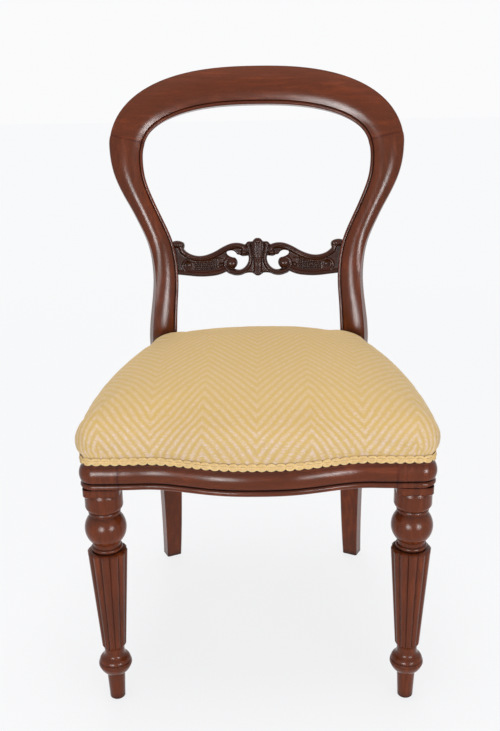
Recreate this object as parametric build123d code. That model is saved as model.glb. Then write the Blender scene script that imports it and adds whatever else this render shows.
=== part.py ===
from build123d import *
import os
from math import cos, pi, radians, sin, sqrt, tan

os.makedirs("parts", exist_ok=True)

# Balloon back chair in millimetres, +Z up, its front towards -Y. It is drawn with Y = 0 on the
# line through the front leg axes, and moved at the end so that the origin lies on the floor
# under the middle of the whole chair.

# Seat frame
leg_spacing = 430.0  # between the front leg axes
leg_block = 51.0  # square block at the top of a front leg
block_corner = 9.0  # rounding of the block's upright edges
block_drop = 13.0  # how far the block shows below the rails
rail_bottom = 353.0
moulding_height = 37.0  # moulded face of the rails, up to the ledge that carries the gimp
rebate_height = 18.4  # plain face above the ledge, where the cover is tacked
rebate_depth = 7.0
moulding_core = 9.0  # how far in the corner moulding reaches into the leg
side_rail_thickness = 27.0
front_rail_back = -2.0  # plane of the front rail's straight inner face
front_base = 27.0  # front moulding ahead of the leg axes, beside the bow
front_bow = 24.0  # extra reach of the serpentine front at its middle
front_bow_half = 150.0
front_flare = 1.5
side_overhang = 30.0  # side moulding outside the leg axes
corner_radius = 22.0
rear_half_width = 181.5  # seat moulding where the side curve ends, at the stiles
side_curve_end = 352.0
side_curve_power = 1.8
back_rail_thickness = 20.0
back_rail_ledge = 4.0
cover_back = 392.5  # outer face of the cover behind the back rail

# Front legs: heights above the floor and radii of the turning
foot_radius = 11.2
foot_top_radius = 13.2
ankle_height = 60.0
ankle_radius = 24.4
ankle_neck_radius = 14.6
reed_count = 12
reed_bottom = 88.0
reed_top = 250.0
reed_bottom_radius = 17.2
reed_top_radius = 28.7
reed_depth = 3.2
ball_height = 285.0
ball_radius = 29.4
ball_neck_radius = 19.5
collar_radius = 26.5
collar_bottom = 313.5
bead_radius = 22.6  # bead between the ball and the collar

# Stiles and rear legs
stile_block_x = 162.4  # middle of the stile at the seat
stile_block_width = 42.0
stile_block_depth = 29.0
stile_block_bottom = 345.0
stile_block_top = 415.0
stile_block_turn = 21.0  # degrees that the face is turned towards the middle
foot_width = 27.0
foot_depth = 24.0
foot_turn = 26.0
foot_spread = 7.0  # the rear foot stands this much further out than the block
foot_sweep = 46.0  # and this much further back
waist_height = 545.0
# Stations up the stile: height, middle of the section, its width, depth and turn
stile_stations = [
    (415.0, 162.4, 42.0, 29.0, 21.0),
    (465.0, 161.5, 42.0, 29.0, 21.0),
    (505.0, 158.0, 39.5, 27.5, 20.5),
    (545.0, 155.5, 39.0, 26.5, 20.0),
    (590.0, 160.0, 38.5, 26.0, 19.0),
    (617.0, 168.5, 37.0, 26.0, 18.0),
    (647.0, 182.0, 37.0, 26.0, 16.0),
    (676.0, 195.5, 39.0, 26.0, 15.0),
    (705.0, 208.0, 45.0, 26.5, 13.0),
    (745.0, 215.5, 53.0, 27.0, 12.0),
    (775.0, 215.5, 57.0, 27.0, 12.0),
]

# Balloon
total_height = 880.0
balloon_width = 486.0
balloon_widest_height = 745.0
balloon_power = 2.5  # squareness of the upper half of the balloon
shoulder_height = 775.0
shoulder_width = 57.5
shoulder_turn = 12.0
crest_width = 63.0
crest_depth = 27.0
crest_joint_height = 771.0
front_roll = 14.0  # how far the rounded front drops to the outer edge
stile_roll = 3.0
bead_width = 5.5
back_reach = 375.0  # front of the back on the centre line at seat height
back_reach_height = 460.0
rake = 11.7  # degrees
plan_sag = 28.0  # the sides of the back stand this much ahead of its middle

# Carved mid rail
mid_rail_front = 405.0  # front face on the centre line, at the mid rail's own height
mid_rail_height = 573.0
mid_rail_thickness = 14.0
mid_rail_sag = 6.0
panel_recess = 2.0
leaf_raise = 4.0
eye_raise = 3.0
eye_radius = 9.0
eye_place = (44.3, -9.0)  # middle of a volute's eye
mid_rail_half = 156.0  # half length before the ends are shaped to the stiles

# Seat
webbing_width = 50.0
webbing_thickness = 1.6
webbing_end_gap = 4.0  # from the strap's end to the rebate face
hessian_thickness = 0.9
cover_thickness = 1.6
pad_gap = 0.45
seat_crown_height = 473.0
seat_middle = 240.0  # the seat's plan is drawn in towards this point
rear_bulge = 3.0  # how far the cover swells behind the back rail
gimp_height = 12.0
gimp_thickness = 2.3
seat_gap = 1.2  # between the seat and the stiles
notch_lean = 0.08  # slope of the seat's notches for the stiles
tack_radius = 1.0
tack_length = 11.0
tack_head_radius = 2.6
tack_head_thickness = 0.7

# Joints
dowel_radius = 5.0
dowel_length = 44.0
small_dowel_radius = 3.0
small_dowel_length = 22.0
fit_gap = 0.1  # around a dowel, a screw or a tack
end_gap = 1.0  # beyond the end of a dowel
block_height = 30.0
block_low = 366.0
block_leg_length = 44.0
block_gap = 0.3
screw_radius = 2.0
screw_length = 34.0
screw_head_radius = 4.0
screw_head_height = 2.6

rail_ledge = rail_bottom + moulding_height
rail_top = rail_ledge + rebate_height
side_rail_top = rail_top + webbing_thickness
block_half = leg_block / 2
leg_x = leg_spacing / 2
seat_half_width = leg_x + side_overhang
rake_slope = tan(radians(rake))
reach = 400.0  # larger than any piece, for cutting tools


def smooth(value, low, high):
    t = min(max((value - low) / (high - low), 0), 1)
    return t * t * (3 - 2 * t)


def blend(value, low, high, start, end):
    return start + (end - start) * smooth(value, low, high)


def box_between(low, high):
    size = [b - a for a, b in zip(low, high)]
    middle = [(a + b) / 2 for a, b in zip(low, high)]
    return Pos(*middle) * Box(*size)


def prism(points, low, high):
    outline = Polyline(*points, close=True)
    return Pos(0, 0, low) * extrude(make_face(outline), high - low)


def rod(start, direction, radius, length):
    plane = Plane(origin=start, z_dir=direction)
    return Solid.make_cylinder(radius, length, plane)


def solids_of(shape):
    return list(shape.solids())


# ---------------------------------------------------------------- plan of the seat moulding


def front_line(x):
    """Y of the front moulding's foremost line."""
    across = abs(x)
    bow = 0
    if across < front_bow_half:
        bow = cos(pi / 2 * (across / front_bow_half) ** 1.3) ** 2
    flare = smooth(across, front_bow_half, leg_x - block_half)
    return -front_base - front_bow * bow - front_flare * flare


def side_line(y):
    """X of the right-hand moulding's outermost line."""
    along = max(y - block_half, 0) / (side_curve_end - block_half)
    return seat_half_width - (seat_half_width - rear_half_width) * along**side_curve_power


def side_normal(y):
    step = 0.5
    slope = (side_line(y + step) - side_line(y - step)) / (2 * step)
    return Vector(1, -slope).normalized()


def surface_y(x, z):
    """Front surface of the back: curved in plan, raked, and upright at the stile's block."""
    lean = rake_slope * (z - back_reach_height)
    if z < back_reach_height:
        bend = back_reach_height - stile_block_top
        rise = max(z - stile_block_top, 0) / bend
        lean = rake_slope * bend / 2 * (rise**2 - 1)
    return back_reach + lean - plan_sag * (x / (balloon_width / 2)) ** 2


def stile_front_y():
    return surface_y(stile_block_x, stile_block_top)


def turned_axes(turn):
    angle = radians(turn)
    outward = Vector(cos(angle), -sin(angle), 0)
    front = Vector(-sin(angle), -cos(angle), 0)
    return outward, front


block_out, block_front = turned_axes(stile_block_turn)
block_centre = Vector(stile_block_x, stile_front_y() - block_front.Y * stile_block_depth / 2, 0)
block_face = block_centre + block_front * (stile_block_depth / 2)


def block_point(u, v, z=0):
    """A point of the stile block: u outward across it, v towards its front."""
    return block_centre + block_out * u + block_front * v + Vector(0, 0, z)


def stile_cutter(u_low, v_high, low, high, lean=0):
    """Prism that takes away all that lies outward of u_low and behind v_high."""
    corners = [(u_low, v_high), (reach, v_high), (reach, -reach), (u_low, -reach)]
    points = [block_point(u, v) for u, v in corners]
    face = make_face(Polyline(*points, close=True))
    tool = extrude(face, (high - low) * sqrt(1 + lean**2), dir=(0, lean, 1))
    return Pos(0, 0, low) * tool


# ---------------------------------------------------------------- back frame


def widest_x():
    return stile_station(balloon_widest_height)[0]


def crest_centre_height():
    angle = radians(rake)
    return total_height - crest_width / 2 * cos(angle) + front_roll * sin(angle)


def stile_station(z):
    """Middle, width, depth and turn at a height, on a smooth curve through the stations."""
    table = stile_stations
    z = min(max(z, table[0][0]), table[-1][0])
    k = max(i for i in range(len(table) - 1) if table[i][0] <= z)
    span = table[k + 1][0] - table[k][0]
    t = (z - table[k][0]) / span

    def slope(i, column):
        if i in (0, len(table) - 1):
            return 0
        ahead = (table[i + 1][column] - table[i][column]) / (table[i + 1][0] - table[i][0])
        behind = (table[i][column] - table[i - 1][column]) / (table[i][0] - table[i - 1][0])
        return (ahead + behind) / 2

    values = []
    for column in range(1, 5):
        start, end = table[k][column], table[k + 1][column]
        first, last = slope(k, column) * span, slope(k + 1, column) * span
        value = start * (2 * t**3 - 3 * t**2 + 1) + end * (3 * t**2 - 2 * t**3)
        value += first * (t**3 - 2 * t**2 + t) + last * (t**3 - t**2)
        values.append(value)
    return values


def section_width(z):
    if z < shoulder_height:
        return stile_station(z)[1]
    rise = (z - shoulder_height) / (crest_centre_height() - shoulder_height)
    return shoulder_width + (crest_width - shoulder_width) * rise


def section_depth(z):
    return stile_station(z)[2]


def section_roll(z):
    return blend(z, waist_height - 80, shoulder_height - 55, stile_roll, front_roll)


def axis_point(s):
    """Middle line of the back's front surface: s runs 0 to 1 up the stile from the top of its
    block to the widest height, and 1 to 2 from there to the top of the crest."""
    if s <= 1:
        z = stile_block_top + s * (balloon_widest_height - stile_block_top)
        x = stile_station(z)[0]
    else:
        angle = (s - 1) * pi / 2
        x = widest_x() * max(cos(angle), 0) ** (2 / balloon_power)
        rise = crest_centre_height() - balloon_widest_height
        z = balloon_widest_height + rise * sin(angle) ** (2 / balloon_power)
    return Vector(x, surface_y(x, z), z)


def axis_turn(s):
    point = axis_point(s)
    if s <= 1:
        return stile_station(point.Z)[3]
    return shoulder_turn * point.X / widest_x()


def back_section(s, side=1):
    """Moulded section of the back: rounded front, bead along the inner edge."""
    point = axis_point(s)
    step = 0.004
    if s + step < 2:
        along = (axis_point(s + step) - axis_point(max(s - step, 0))).normalized()
    else:
        along = Vector(-1, 0, 0)
    turn = radians(axis_turn(s))
    facing = Vector(-sin(turn), -cos(turn), rake_slope)
    if s == 0:
        along = Vector(0, 0, 1)
    outward = along.cross(facing).normalized()
    front = outward.cross(along).normalized()
    half = section_width(point.Z) / 2
    deep = section_depth(point.Z) / 2
    roll = section_roll(point.Z)
    centre = point - front * deep
    centre = Vector(point.X, centre.Y, centre.Z)

    def at(u, v):
        place = centre + outward * u + front * v
        return Vector(place.X * side, place.Y, place.Z)

    ease = 4.0
    groove = bead_width + 1.5
    corners = [
        at(-half, -deep + 2),
        at(-half + 2, -deep),
        at(half - ease, -deep),
        at(half, -deep + ease),
        at(half, deep - roll),
        at(-half + groove, deep - 2.2),
        at(-half + bead_width, deep - 4.2),
        at(-half, deep - 5),
    ]
    bends = {
        2: at(half - 0.3 * ease, -deep + 0.3 * ease),
        4: at(0, deep),
        6: at(-half + bead_width / 2, deep - 1.9),
    }
    edges = []
    for k, start in enumerate(corners):
        end = corners[(k + 1) % len(corners)]
        if k in bends:
            edges.append(Edge.make_three_point_arc(start, bends[k], end))
        else:
            edges.append(Edge.make_line(start, end))
    return Wire(edges)


def leg_section(z):
    """Plain section of the rear leg, its corners eased."""
    down = max(stile_block_bottom - z, 0) / stile_block_bottom
    width = stile_block_width + (foot_width - stile_block_width) * down**1.1
    depth = stile_block_depth + (foot_depth - stile_block_depth) * down
    turn = stile_block_turn + (foot_turn - stile_block_turn) * down
    outward, front = turned_axes(turn)
    centre = Vector(block_centre.X, block_centre.Y, z)
    centre += Vector(foot_spread * down**3, foot_sweep * down**1.6, 0)
    half, deep, ease = width / 2, depth / 2, 2.0
    corners = [
        (half - ease, -deep), (half, -deep + ease), (half, deep - ease), (half - ease, deep),
        (ease - half, deep), (-half, deep - ease), (-half, ease - deep), (ease - half, -deep),
    ]
    points = [centre + outward * u + front * v for u, v in corners]
    return Wire.make_polygon(points, close=True)


def joint_step():
    """Value of s where the crest rail meets the stile."""
    low, high = 1.0, 2.0
    for _ in range(40):
        middle = (low + high) / 2
        if axis_point(middle).Z < crest_joint_height:
            low = middle
        else:
            high = middle
    return low


crest_start = joint_step()


def make_stile():
    below = 12.0
    leg_steps = 9
    span = stile_block_bottom + below
    heights = [-below + span * k / (leg_steps - 1) for k in range(leg_steps)]
    leg = Solid.make_loft([leg_section(z) for z in heights])
    leg = leg & box_between((0, 0, 0), (reach, 2 * reach, stile_block_bottom))
    half, deep = stile_block_width / 2, stile_block_depth / 2
    corners = [(-half, -deep), (half, -deep), (half, deep), (-half, deep)]
    block = prism([block_point(u, v) for u, v in corners], stile_block_bottom, stile_block_top)
    steps = 17
    places = [crest_start * k / (steps - 1) for k in range(steps)]
    upper = Solid.make_loft([back_section(s) for s in places])
    return leg + block + upper


def make_crest():
    steps = 9
    right = [crest_start + (2 - crest_start) * k / (steps - 1) for k in range(steps)]
    wires = [back_section(s) for s in right]
    wires += [back_section(s, -1) for s in reversed(right[:-1])]
    return Solid.make_loft(wires)


# ---------------------------------------------------------------- carved mid rail


def curved_slab(front_offset, back_offset):
    """Layer of the mid rail between two depths, raked and curved in plan."""
    half = mid_rail_half + 20
    low, high = -60.0, 60.0
    lean = rake_slope

    def edge(offset):
        y = mid_rail_front + offset + low * lean
        return (-half, y - mid_rail_sag), (0, y), (half, y - mid_rail_sag)

    front, back = edge(front_offset), edge(back_offset)
    face = make_face([
        ThreePointArc(*front),
        Line(front[2], back[2]),
        ThreePointArc(*reversed(back)),
        Line(back[0], front[0]),
    ])
    slab = extrude(face, (high - low) * sqrt(1 + lean**2), dir=(0, lean, 1))
    return Pos(0, 0, mid_rail_height + low) * slab


def carved(points, front_offset, back_offset):
    """Outline in the front view, given by arcs, cut out of a layer of the mid rail."""
    edges = []
    count = len(points)
    for k in range(0, count, 2):
        start, middle, end = points[k], points[k + 1], points[(k + 2) % count]
        edges.append(ThreePointArc(start, middle, end))
    flat = make_face(edges)
    angle = radians(rake)
    raked = Plane(
        origin=(0, mid_rail_front, mid_rail_height),
        x_dir=(1, 0, 0),
        z_dir=(0, -cos(angle), sin(angle)),
    )
    return extrude(raked * flat, reach / 8, both=True) & curved_slab(front_offset, back_offset)


def both_sides(points):
    """A closed outline from its right half, which runs from the bottom to the top middle."""
    return points + [(-x, z) for x, z in reversed(points[1:-1])]


def make_mid_rail(stiles):
    end = mid_rail_half
    half = [
        (0, -31), (6, -29), (9, -26.4), (17, -26.2), (22, -27.3), (33.5, -30.6), (46, -28.2),
        (51, -26), (53.5, -23.8), (66, -28.7), (80, -30.8), (93, -31.3), (106, -30.6),
        (122, -28.6), (end, -24.5), (end + 3, 0), (end, 28), (132, 30), (124.8, 26.8),
        (123.3, 22.2), (124.9, 16.4), (120.5, 11.8), (113, 7.2), (103.4, 4.4), (88, 5.2),
        (77.2, 8.9), (66.5, 14.3), (56.5, 19.7), (48, 23.2), (36, 25), (23.5, 22.6), (22, 22.1),
        (20.6, 22.7), (18.2, 25.6), (12.5, 26.9), (8.8, 27.4), (7, 29.5), (4, 32), (0, 32.5),
    ]
    hole = [
        (52.8, 9.5), (48.7, 11.3), (43.7, 11.8), (39, 10), (36, 6.5), (33.5, 4.6), (30.5, 4.5),
        (27, 2.3), (22.5, 2), (19, 2.4), (16.2, 3), (15.6, -2), (16.9, -8), (20, -13.4),
        (25, -18), (31, -20.3), (36.8, -19.7), (38.8, -19.2), (40, -18.3), (36.3, -15),
        (34.2, -8.4), (35.6, -3.4), (39.7, 0.2), (44.7, 1.3), (49.9, 3.9), (52, 6),
    ]
    panel = [
        (62, -16), (70, -19.5), (84, -21.8), (100, -22), (118, -20.5), (122, -12), (120, -3),
        (111, -5.5), (100, -7), (88, -6), (76, -2.5), (66, 0.5), (58, -1), (57.5, -9),
    ]
    leaf = [
        (0, -30.6), (5, -28.6), (7.5, -24), (6.5, -15), (8, -5), (9.5, 8), (10.5, 18), (9.5, 26),
        (6.6, 29), (4, 31.4), (0, 32),
    ]
    body = carved(both_sides(half), 0, mid_rail_thickness)
    for side in (1, -1):
        body -= carved([(side * x, z) for x, z in hole], -5, mid_rail_thickness + 5)
        body -= carved([(side * x, z) for x, z in panel], -1, panel_recess)
        place = (side * eye_place[0], mid_rail_front - reach / 8, mid_rail_height + eye_place[1])
        eye = extrude(Plane(origin=place, z_dir=(0, 1, 0)) * Circle(eye_radius), reach / 4)
        body += eye & curved_slab(-eye_raise, mid_rail_thickness / 2)
    body += carved(both_sides(leaf), -leaf_raise, mid_rail_thickness / 2)
    for stile in stiles:
        body -= stile
    return max(body.solids(), key=lambda solid: solid.volume)


# ---------------------------------------------------------------- seat rails


def moulding_edges(at):
    """Front of the rail from its foot to the ledge: bead, quirk, rounded shoulder, ledge."""
    low, top = rail_bottom, rail_ledge
    return [
        Edge.make_line(at(-8, low), at(-5.4, low)),
        Edge.make_three_point_arc(at(-5.4, low), at(-1, low + 4.7), at(-5.2, low + 9.4)),
        Edge.make_line(at(-5.2, low + 9.4), at(-5.2, low + 11.4)),
        Edge.make_line(at(-5.2, low + 11.4), at(-1.6, low + 11.4)),
        Edge.make_three_point_arc(at(-1.6, low + 11.4), at(0, low + 23.5), at(-4.8, top - 3)),
        Edge.make_line(at(-4.8, top - 3), at(-4.8, top)),
        Edge.make_line(at(-4.8, top), at(-rebate_depth, top)),
    ]


def rail_section(at, inner, top):
    """Closed section: at places a point by its offset from the moulding's outermost line."""
    edges = moulding_edges(at)
    edges.append(Edge.make_line(at(-rebate_depth, rail_ledge), at(-rebate_depth, top)))
    edges.append(Edge.make_line(at(-rebate_depth, top), inner(top)))
    edges.append(Edge.make_line(inner(top), inner(rail_bottom)))
    edges.append(Edge.make_line(inner(rail_bottom), at(-8, rail_bottom)))
    return Wire(edges)


def make_front_rail():
    half = leg_x - block_half
    steps = 25
    sections = []
    for k in range(steps):
        x = -half + 2 * half * k / (steps - 1)

        def at(offset, z, x=x):
            return Vector(x, front_line(x) - offset, z)

        def inner(z, x=x):
            return Vector(x, front_rail_back, z)

        sections.append(rail_section(at, inner, rail_top))
    return Solid.make_loft(sections)


def make_side_rail(extra=0.0):
    """Right-hand side rail, cut off flush with the stile's front face; extra thickness at its
    inner face makes the tool that fits a block against it."""
    steps = 17
    last = stile_front_y() + 22
    sections = []
    for k in range(steps):
        y = block_half + (last - block_half) * k / (steps - 1)
        normal = side_normal(y) if k else Vector(1, 0)
        base = Vector(side_line(y), y, 0)

        def at(offset, z, base=base, normal=normal):
            return base + normal * offset + Vector(0, 0, z)

        def inner(z, base=base, normal=normal):
            return base - normal * (side_rail_thickness + extra) + Vector(0, 0, z)

        sections.append(rail_section(at, inner, side_rail_top))
    rail = Solid.make_loft(sections)
    return rail - stile_cutter(-reach, stile_block_depth / 2, 0, 2 * rail_top)


def rail_end(inset):
    """Point of the side rail's end, at an inset from its outermost line, on the stile's face."""
    low, high = stile_front_y() - 30, stile_front_y() + 30
    for _ in range(40):
        y = (low + high) / 2
        point = Vector(side_line(y), y, 0) - side_normal(y) * inset
        if (point - block_face).dot(block_front) > 0:
            low = y
        else:
            high = y
    return point, Vector(-side_normal(y).Y, side_normal(y).X, 0)


def back_rail_front():
    return cover_back - 2.5 - back_rail_thickness


def make_back_rail():
    front = back_rail_front()
    back = front + back_rail_thickness
    upper = box_between((-reach, front, rail_bottom), (reach, back, rail_top))
    ledge = box_between((-reach, front, rail_bottom), (reach, back + back_rail_ledge, rail_ledge))
    rail = upper + ledge
    tool = stile_cutter(-stile_block_width / 2, reach, 0, 2 * rail_top)
    return rail - tool - mirror(tool, Plane.YZ)


# ---------------------------------------------------------------- front legs


def revolved(points):
    """Turned form: a point with three numbers is the middle of an arc."""
    edges = []
    k = 0
    while k < len(points) - 1:
        if len(points[k + 1]) == 3:
            edges.append(ThreePointArc(points[k][:2], points[k + 1][:2], points[k + 2][:2]))
            k += 2
        else:
            edges.append(Line(points[k][:2], points[k + 1][:2]))
            k += 1
    edges.append(Line(points[-1][:2], points[0][:2]))
    face = Plane.XZ * make_face(edges)
    return revolve(face, Axis.Z, 360)


def turned_part():
    neck = ankle_neck_radius
    ankle = ankle_height
    bulge = ankle_radius
    cap = ball_height - 33.0
    lower = ball_height - sqrt(ball_radius**2 - ball_neck_radius**2)
    upper = ball_height + sqrt(ball_radius**2 - (bead_radius - 2.2) ** 2)
    collar = collar_bottom
    block = rail_bottom - block_drop
    return revolved([
        (0, 0),
        (foot_radius - 1, 0),
        (foot_radius, 1.2),
        (foot_top_radius, ankle - 17),
        (foot_top_radius + 1, ankle - 16),
        (bulge - 2.9, ankle - 8, 0),
        (bulge, ankle - 1),
        (bulge - 0.2, ankle + 1.4, 0),
        (bulge - 0.9, ankle + 3.6),
        (bulge - 2.1, ankle + 4.5),
        (bulge - 1.5, ankle + 5.4),
        (bulge - 2.6, ankle + 8.6, 0),
        (bulge - 6, ankle + 12),
        (neck + 0.8, ankle + 15.5, 0),
        (neck, ankle + 20),
        (neck, reed_bottom + 2),
        (neck - 1, reed_bottom + 3),
        (neck - 1, reed_top - 4),
        (reed_top_radius - 8, reed_top - 1),
        (ball_neck_radius, reed_top + 0.5),
        (ball_neck_radius + 2.6, cap + 2.2, 0),
        (ball_neck_radius, cap + 5.5),
        (ball_neck_radius, lower),
        (ball_radius, ball_height, 0),
        (bead_radius - 2.2, upper),
        (bead_radius - 2.2, upper + 1),
        (bead_radius - 1.4, upper + 1.3),
        (bead_radius, (upper + collar) / 2 + 0.8, 0),
        (bead_radius - 1.4, collar),
        (collar_radius - 1.4, collar + 3, 0),
        (collar_radius, collar + 9),
        (collar_radius, block - 2),
        (collar_radius - 1, block + 2),
        (0, block + 2),
    ])


def reeded_part():
    """Tapering shaft of convex reeds, its two ends rounded off."""

    def wire(z, outer, valley):
        edges = []
        step = 2 * pi / reed_count
        for k in range(reed_count):
            a = k * step
            start = Vector(valley * cos(a - step / 2), valley * sin(a - step / 2), z)
            middle = Vector(outer * cos(a), outer * sin(a), z)
            end = Vector(valley * cos(a + step / 2), valley * sin(a + step / 2), z)
            edges.append(Edge.make_three_point_arc(start, middle, end))
        return Wire(edges)

    share = reed_bottom_radius / reed_top_radius
    low = wire(reed_bottom - 4, reed_bottom_radius, reed_bottom_radius - reed_depth * share)
    high = wire(reed_top + 2, reed_top_radius, reed_top_radius - reed_depth)
    reeds = Solid.make_loft([low, high], ruled=True)
    envelope = revolved([
        (0, reed_bottom - 3),
        (ankle_neck_radius - 1.5, reed_bottom - 3),
        (reed_bottom_radius + 0.6, reed_bottom + 5),
        (reed_top_radius + 1, reed_top - 6),
        (reed_top_radius - 1.8, reed_top - 1.2, 0),
        (reed_top_radius - 8, reed_top + 0.6),
        (0, reed_top + 0.6),
    ])
    return reeds & envelope


def corner_moulding():
    """Moulding that carries the rails' section round the outer corner of the leg block."""
    start_x = leg_x - block_half
    y = front_line(start_x)
    turn_x = seat_half_width - corner_radius
    turn_y = y + corner_radius
    path = Wire([
        Edge.make_line((start_x, y, 0), (turn_x, y, 0)),
        Edge.make_three_point_arc(
            (turn_x, y, 0),
            (
                turn_x + corner_radius * sin(pi / 4),
                turn_y - corner_radius * cos(pi / 4),
                0,
            ),
            (seat_half_width, turn_y, 0),
        ),
        Edge.make_line((seat_half_width, turn_y, 0), (seat_half_width, block_half, 0)),
    ])

    def at(offset, z):
        return Vector(start_x, y - offset, z)

    edges = moulding_edges(at)
    corners = [(rebate_depth, rail_ledge), (moulding_core, rail_ledge), (moulding_core, rail_bottom)]
    corners.append((8, rail_bottom))
    for (depth, z), (next_depth, next_z) in zip(corners, corners[1:]):
        edges.append(Edge.make_line(at(-depth, z), at(-next_depth, next_z)))
    return sweep(make_face(Wire(edges)), path)


def rounded_post(low, high, x_low, x_high, y_low, y_high, radius):
    width, depth = x_high - x_low, y_high - y_low
    plan = Pos((x_low + x_high) / 2, (y_low + y_high) / 2) * RectangleRounded(width, depth, radius)
    return Pos(0, 0, low) * extrude(plan, high - low)


def make_front_leg():
    """Right-hand front leg in one piece with its block."""
    turned = Pos(leg_x, 0, 0) * (turned_part() + reeded_part())
    low = rail_bottom - block_drop
    inner, outer = leg_x - block_half, leg_x + block_half
    shown = rounded_post(low, rail_bottom, inner, outer, -block_half, block_half, block_corner)
    shown = chamfer(shown.faces().sort_by(Axis.Z)[0].edges(), 2.5)
    front = front_line(inner) + rebate_depth
    side = seat_half_width - rebate_depth
    core = box_between((inner, front, rail_bottom), (side, block_half, rail_top))
    rounding = corner_radius - rebate_depth
    upright = core.edges().filter_by(Axis.Z).sort_by(lambda e: e.center().X - e.center().Y)[-1]
    core = fillet(upright, rounding)
    return turned + shown + core + corner_moulding()


# ---------------------------------------------------------------- seat


def seat_wire(offset, scale=1.0, bow=0.02, z=0.0, inset=0.0):
    """Closed curve of the seat's plan, drawn in towards the middle by the scale and all round
    by the inset; the bow is the share of the depth behind the stiles' faces that its rear edge
    curves through."""
    rear_y = cover_back + min(offset - skirt_offset, rear_bulge) - inset
    offset -= inset
    radius = corner_radius + offset
    turn_x = seat_half_width - corner_radius
    front_y = front_line(leg_x)
    turn_y = front_y + corner_radius

    def placed(x, y):
        return Vector(x * scale, seat_middle + (y - seat_middle) * scale, z)

    def mirrored(edges_points):
        return [Vector(-p.X, p.Y, p.Z) for p in reversed(edges_points)]

    front = []
    for k in range(29):
        x = -turn_x + 2 * turn_x * k / 28
        y = front_y if abs(x) > leg_x - block_half else front_line(x)
        front.append(placed(x, y - offset))
    bend = radius * sin(pi / 4)
    corner = [
        placed(turn_x, front_y - offset),
        placed(turn_x + bend, turn_y - bend),
        placed(seat_half_width + offset, turn_y),
    ]
    side = [corner[2]]
    for k in range(1, 16):
        y = turn_y + (stile_front_y() - 6 - turn_y) * k / 15
        normal = side_normal(y) if y > block_half else Vector(1, 0)
        side.append(placed(side_line(y) + normal.X * offset, y + normal.Y * offset))
    last_x, last_y = side[-1].X, side[-1].Y
    end_y = seat_middle + (rear_y - seat_middle) * scale
    rear_corner_y = end_y - bow * (end_y - last_y)
    end = Vector(last_x - 0.45 * (rear_corner_y - last_y), rear_corner_y, z)
    rear = []
    for share in (1, 0.5, 0, -0.5, -1):
        rear.append(Vector(end.X * share, end_y - (end_y - end.Y) * share**2, z))
    return Wire([
        Edge.make_spline(front),
        Edge.make_three_point_arc(*corner),
        Edge.make_spline(side),
        Edge.make_line(side[-1], end),
        Edge.make_spline(rear),
        Edge.make_line(*mirrored([side[-1], end])),
        Edge.make_spline(mirrored(side)),
        Edge.make_three_point_arc(*mirrored(corner)),
    ])


def seat_layer(offset, low, high):
    return Pos(0, 0, low) * extrude(make_face(seat_wire(offset)), high - low)


def seat_form(inset, low):
    """Crowned body of the seat on its upright skirt, drawn in at its foot and rounded over at
    its edge; low is the height of its underside."""
    foot = gimp_top + 1.5
    crown = seat_crown_height
    levels = [
        (low, skirt_offset, 1.0, 0.02),
        (foot, skirt_offset, 1.0, 0.02),
        (foot + 2, -1.2, 1.0, 0.02),
        (foot + 5, 1.6, 1.0, 0.02),
        (foot + 10, 3.7, 1.0, 0.03),
        (foot + 17, 4.7, 1.0, 0.05),
        (foot + 25, 3.8, 1.0, 0.08),
        (crown - 34, 1.2, 0.995, 0.12),
        (crown - 29, 0, 0.985, 0.17),
        (crown - 23, 0, 0.96, 0.27),
        (crown - 17.5, 0, 0.915, 0.43),
        (crown - 12, 0, 0.835, 0.6),
        (crown - 6.5, 0, 0.7, 0.72),
        (crown - 2, 0, 0.48, 0.75),
        (crown, 0, 0.2, 0.75),
    ]
    wires = []
    for k, (z, offset, scale, bow) in enumerate(levels):
        height = z if k < 4 else z - inset
        wires.append(seat_wire(offset, scale, bow, height, inset))
    return Solid.make_loft(wires, ruled=True)


def clear_of_stiles(shape, gap):
    """Takes the stiles' notches out of a seat layer."""
    edge, face = -stile_block_width / 2 - gap, stile_block_depth / 2 + gap
    for tool in (
        stile_cutter(edge, face, 0, stile_block_top),
        stile_cutter(edge, face, stile_block_top - 1, 2 * reach, notch_lean),
    ):
        shape = shape - tool - mirror(tool, Plane.YZ)
    return shape


skirt_offset = cover_thickness + pad_gap - rebate_depth
gimp_low = rail_ledge + pad_gap
gimp_top = gimp_low + gimp_height
webbing_top = side_rail_top + webbing_thickness
hessian_bottom = webbing_top + tack_head_thickness
pad_bottom = hessian_bottom + hessian_thickness + pad_gap


def make_cover():
    cover = seat_form(0, gimp_low) - seat_form(cover_thickness, gimp_low - 5)
    return clear_of_stiles(cover, seat_gap)


def make_pad():
    pad = seat_form(cover_thickness + pad_gap, gimp_low)
    pad = pad & box_between((-reach, -reach, pad_bottom), (reach, 2 * reach, 2 * reach))
    return clear_of_stiles(pad, seat_gap)


def make_gimp():
    inner = skirt_offset + pad_gap
    outer = inner + gimp_thickness
    band = seat_layer(outer, gimp_low, gimp_top) - seat_layer(inner, rail_bottom, reach * 2)
    return clear_of_stiles(band, seat_gap)


def make_hessian():
    low = hessian_bottom
    sheet = seat_layer(-rebate_depth - 2, low, low + hessian_thickness)
    return clear_of_stiles(sheet, seat_gap + 2)


def lengthwise_straps():
    straps = []
    pitch = 92.0
    back = back_rail_front() + back_rail_thickness - webbing_end_gap
    for k in (-1, 0, 1):
        x = k * pitch
        edge = max(front_line(x - webbing_width / 2), front_line(x + webbing_width / 2))
        front = edge + rebate_depth + webbing_end_gap
        low, high = x - webbing_width / 2, x + webbing_width / 2
        top = rail_top + webbing_thickness
        straps.append(box_between((low, front, rail_top), (high, back, top)))
    return straps


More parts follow.
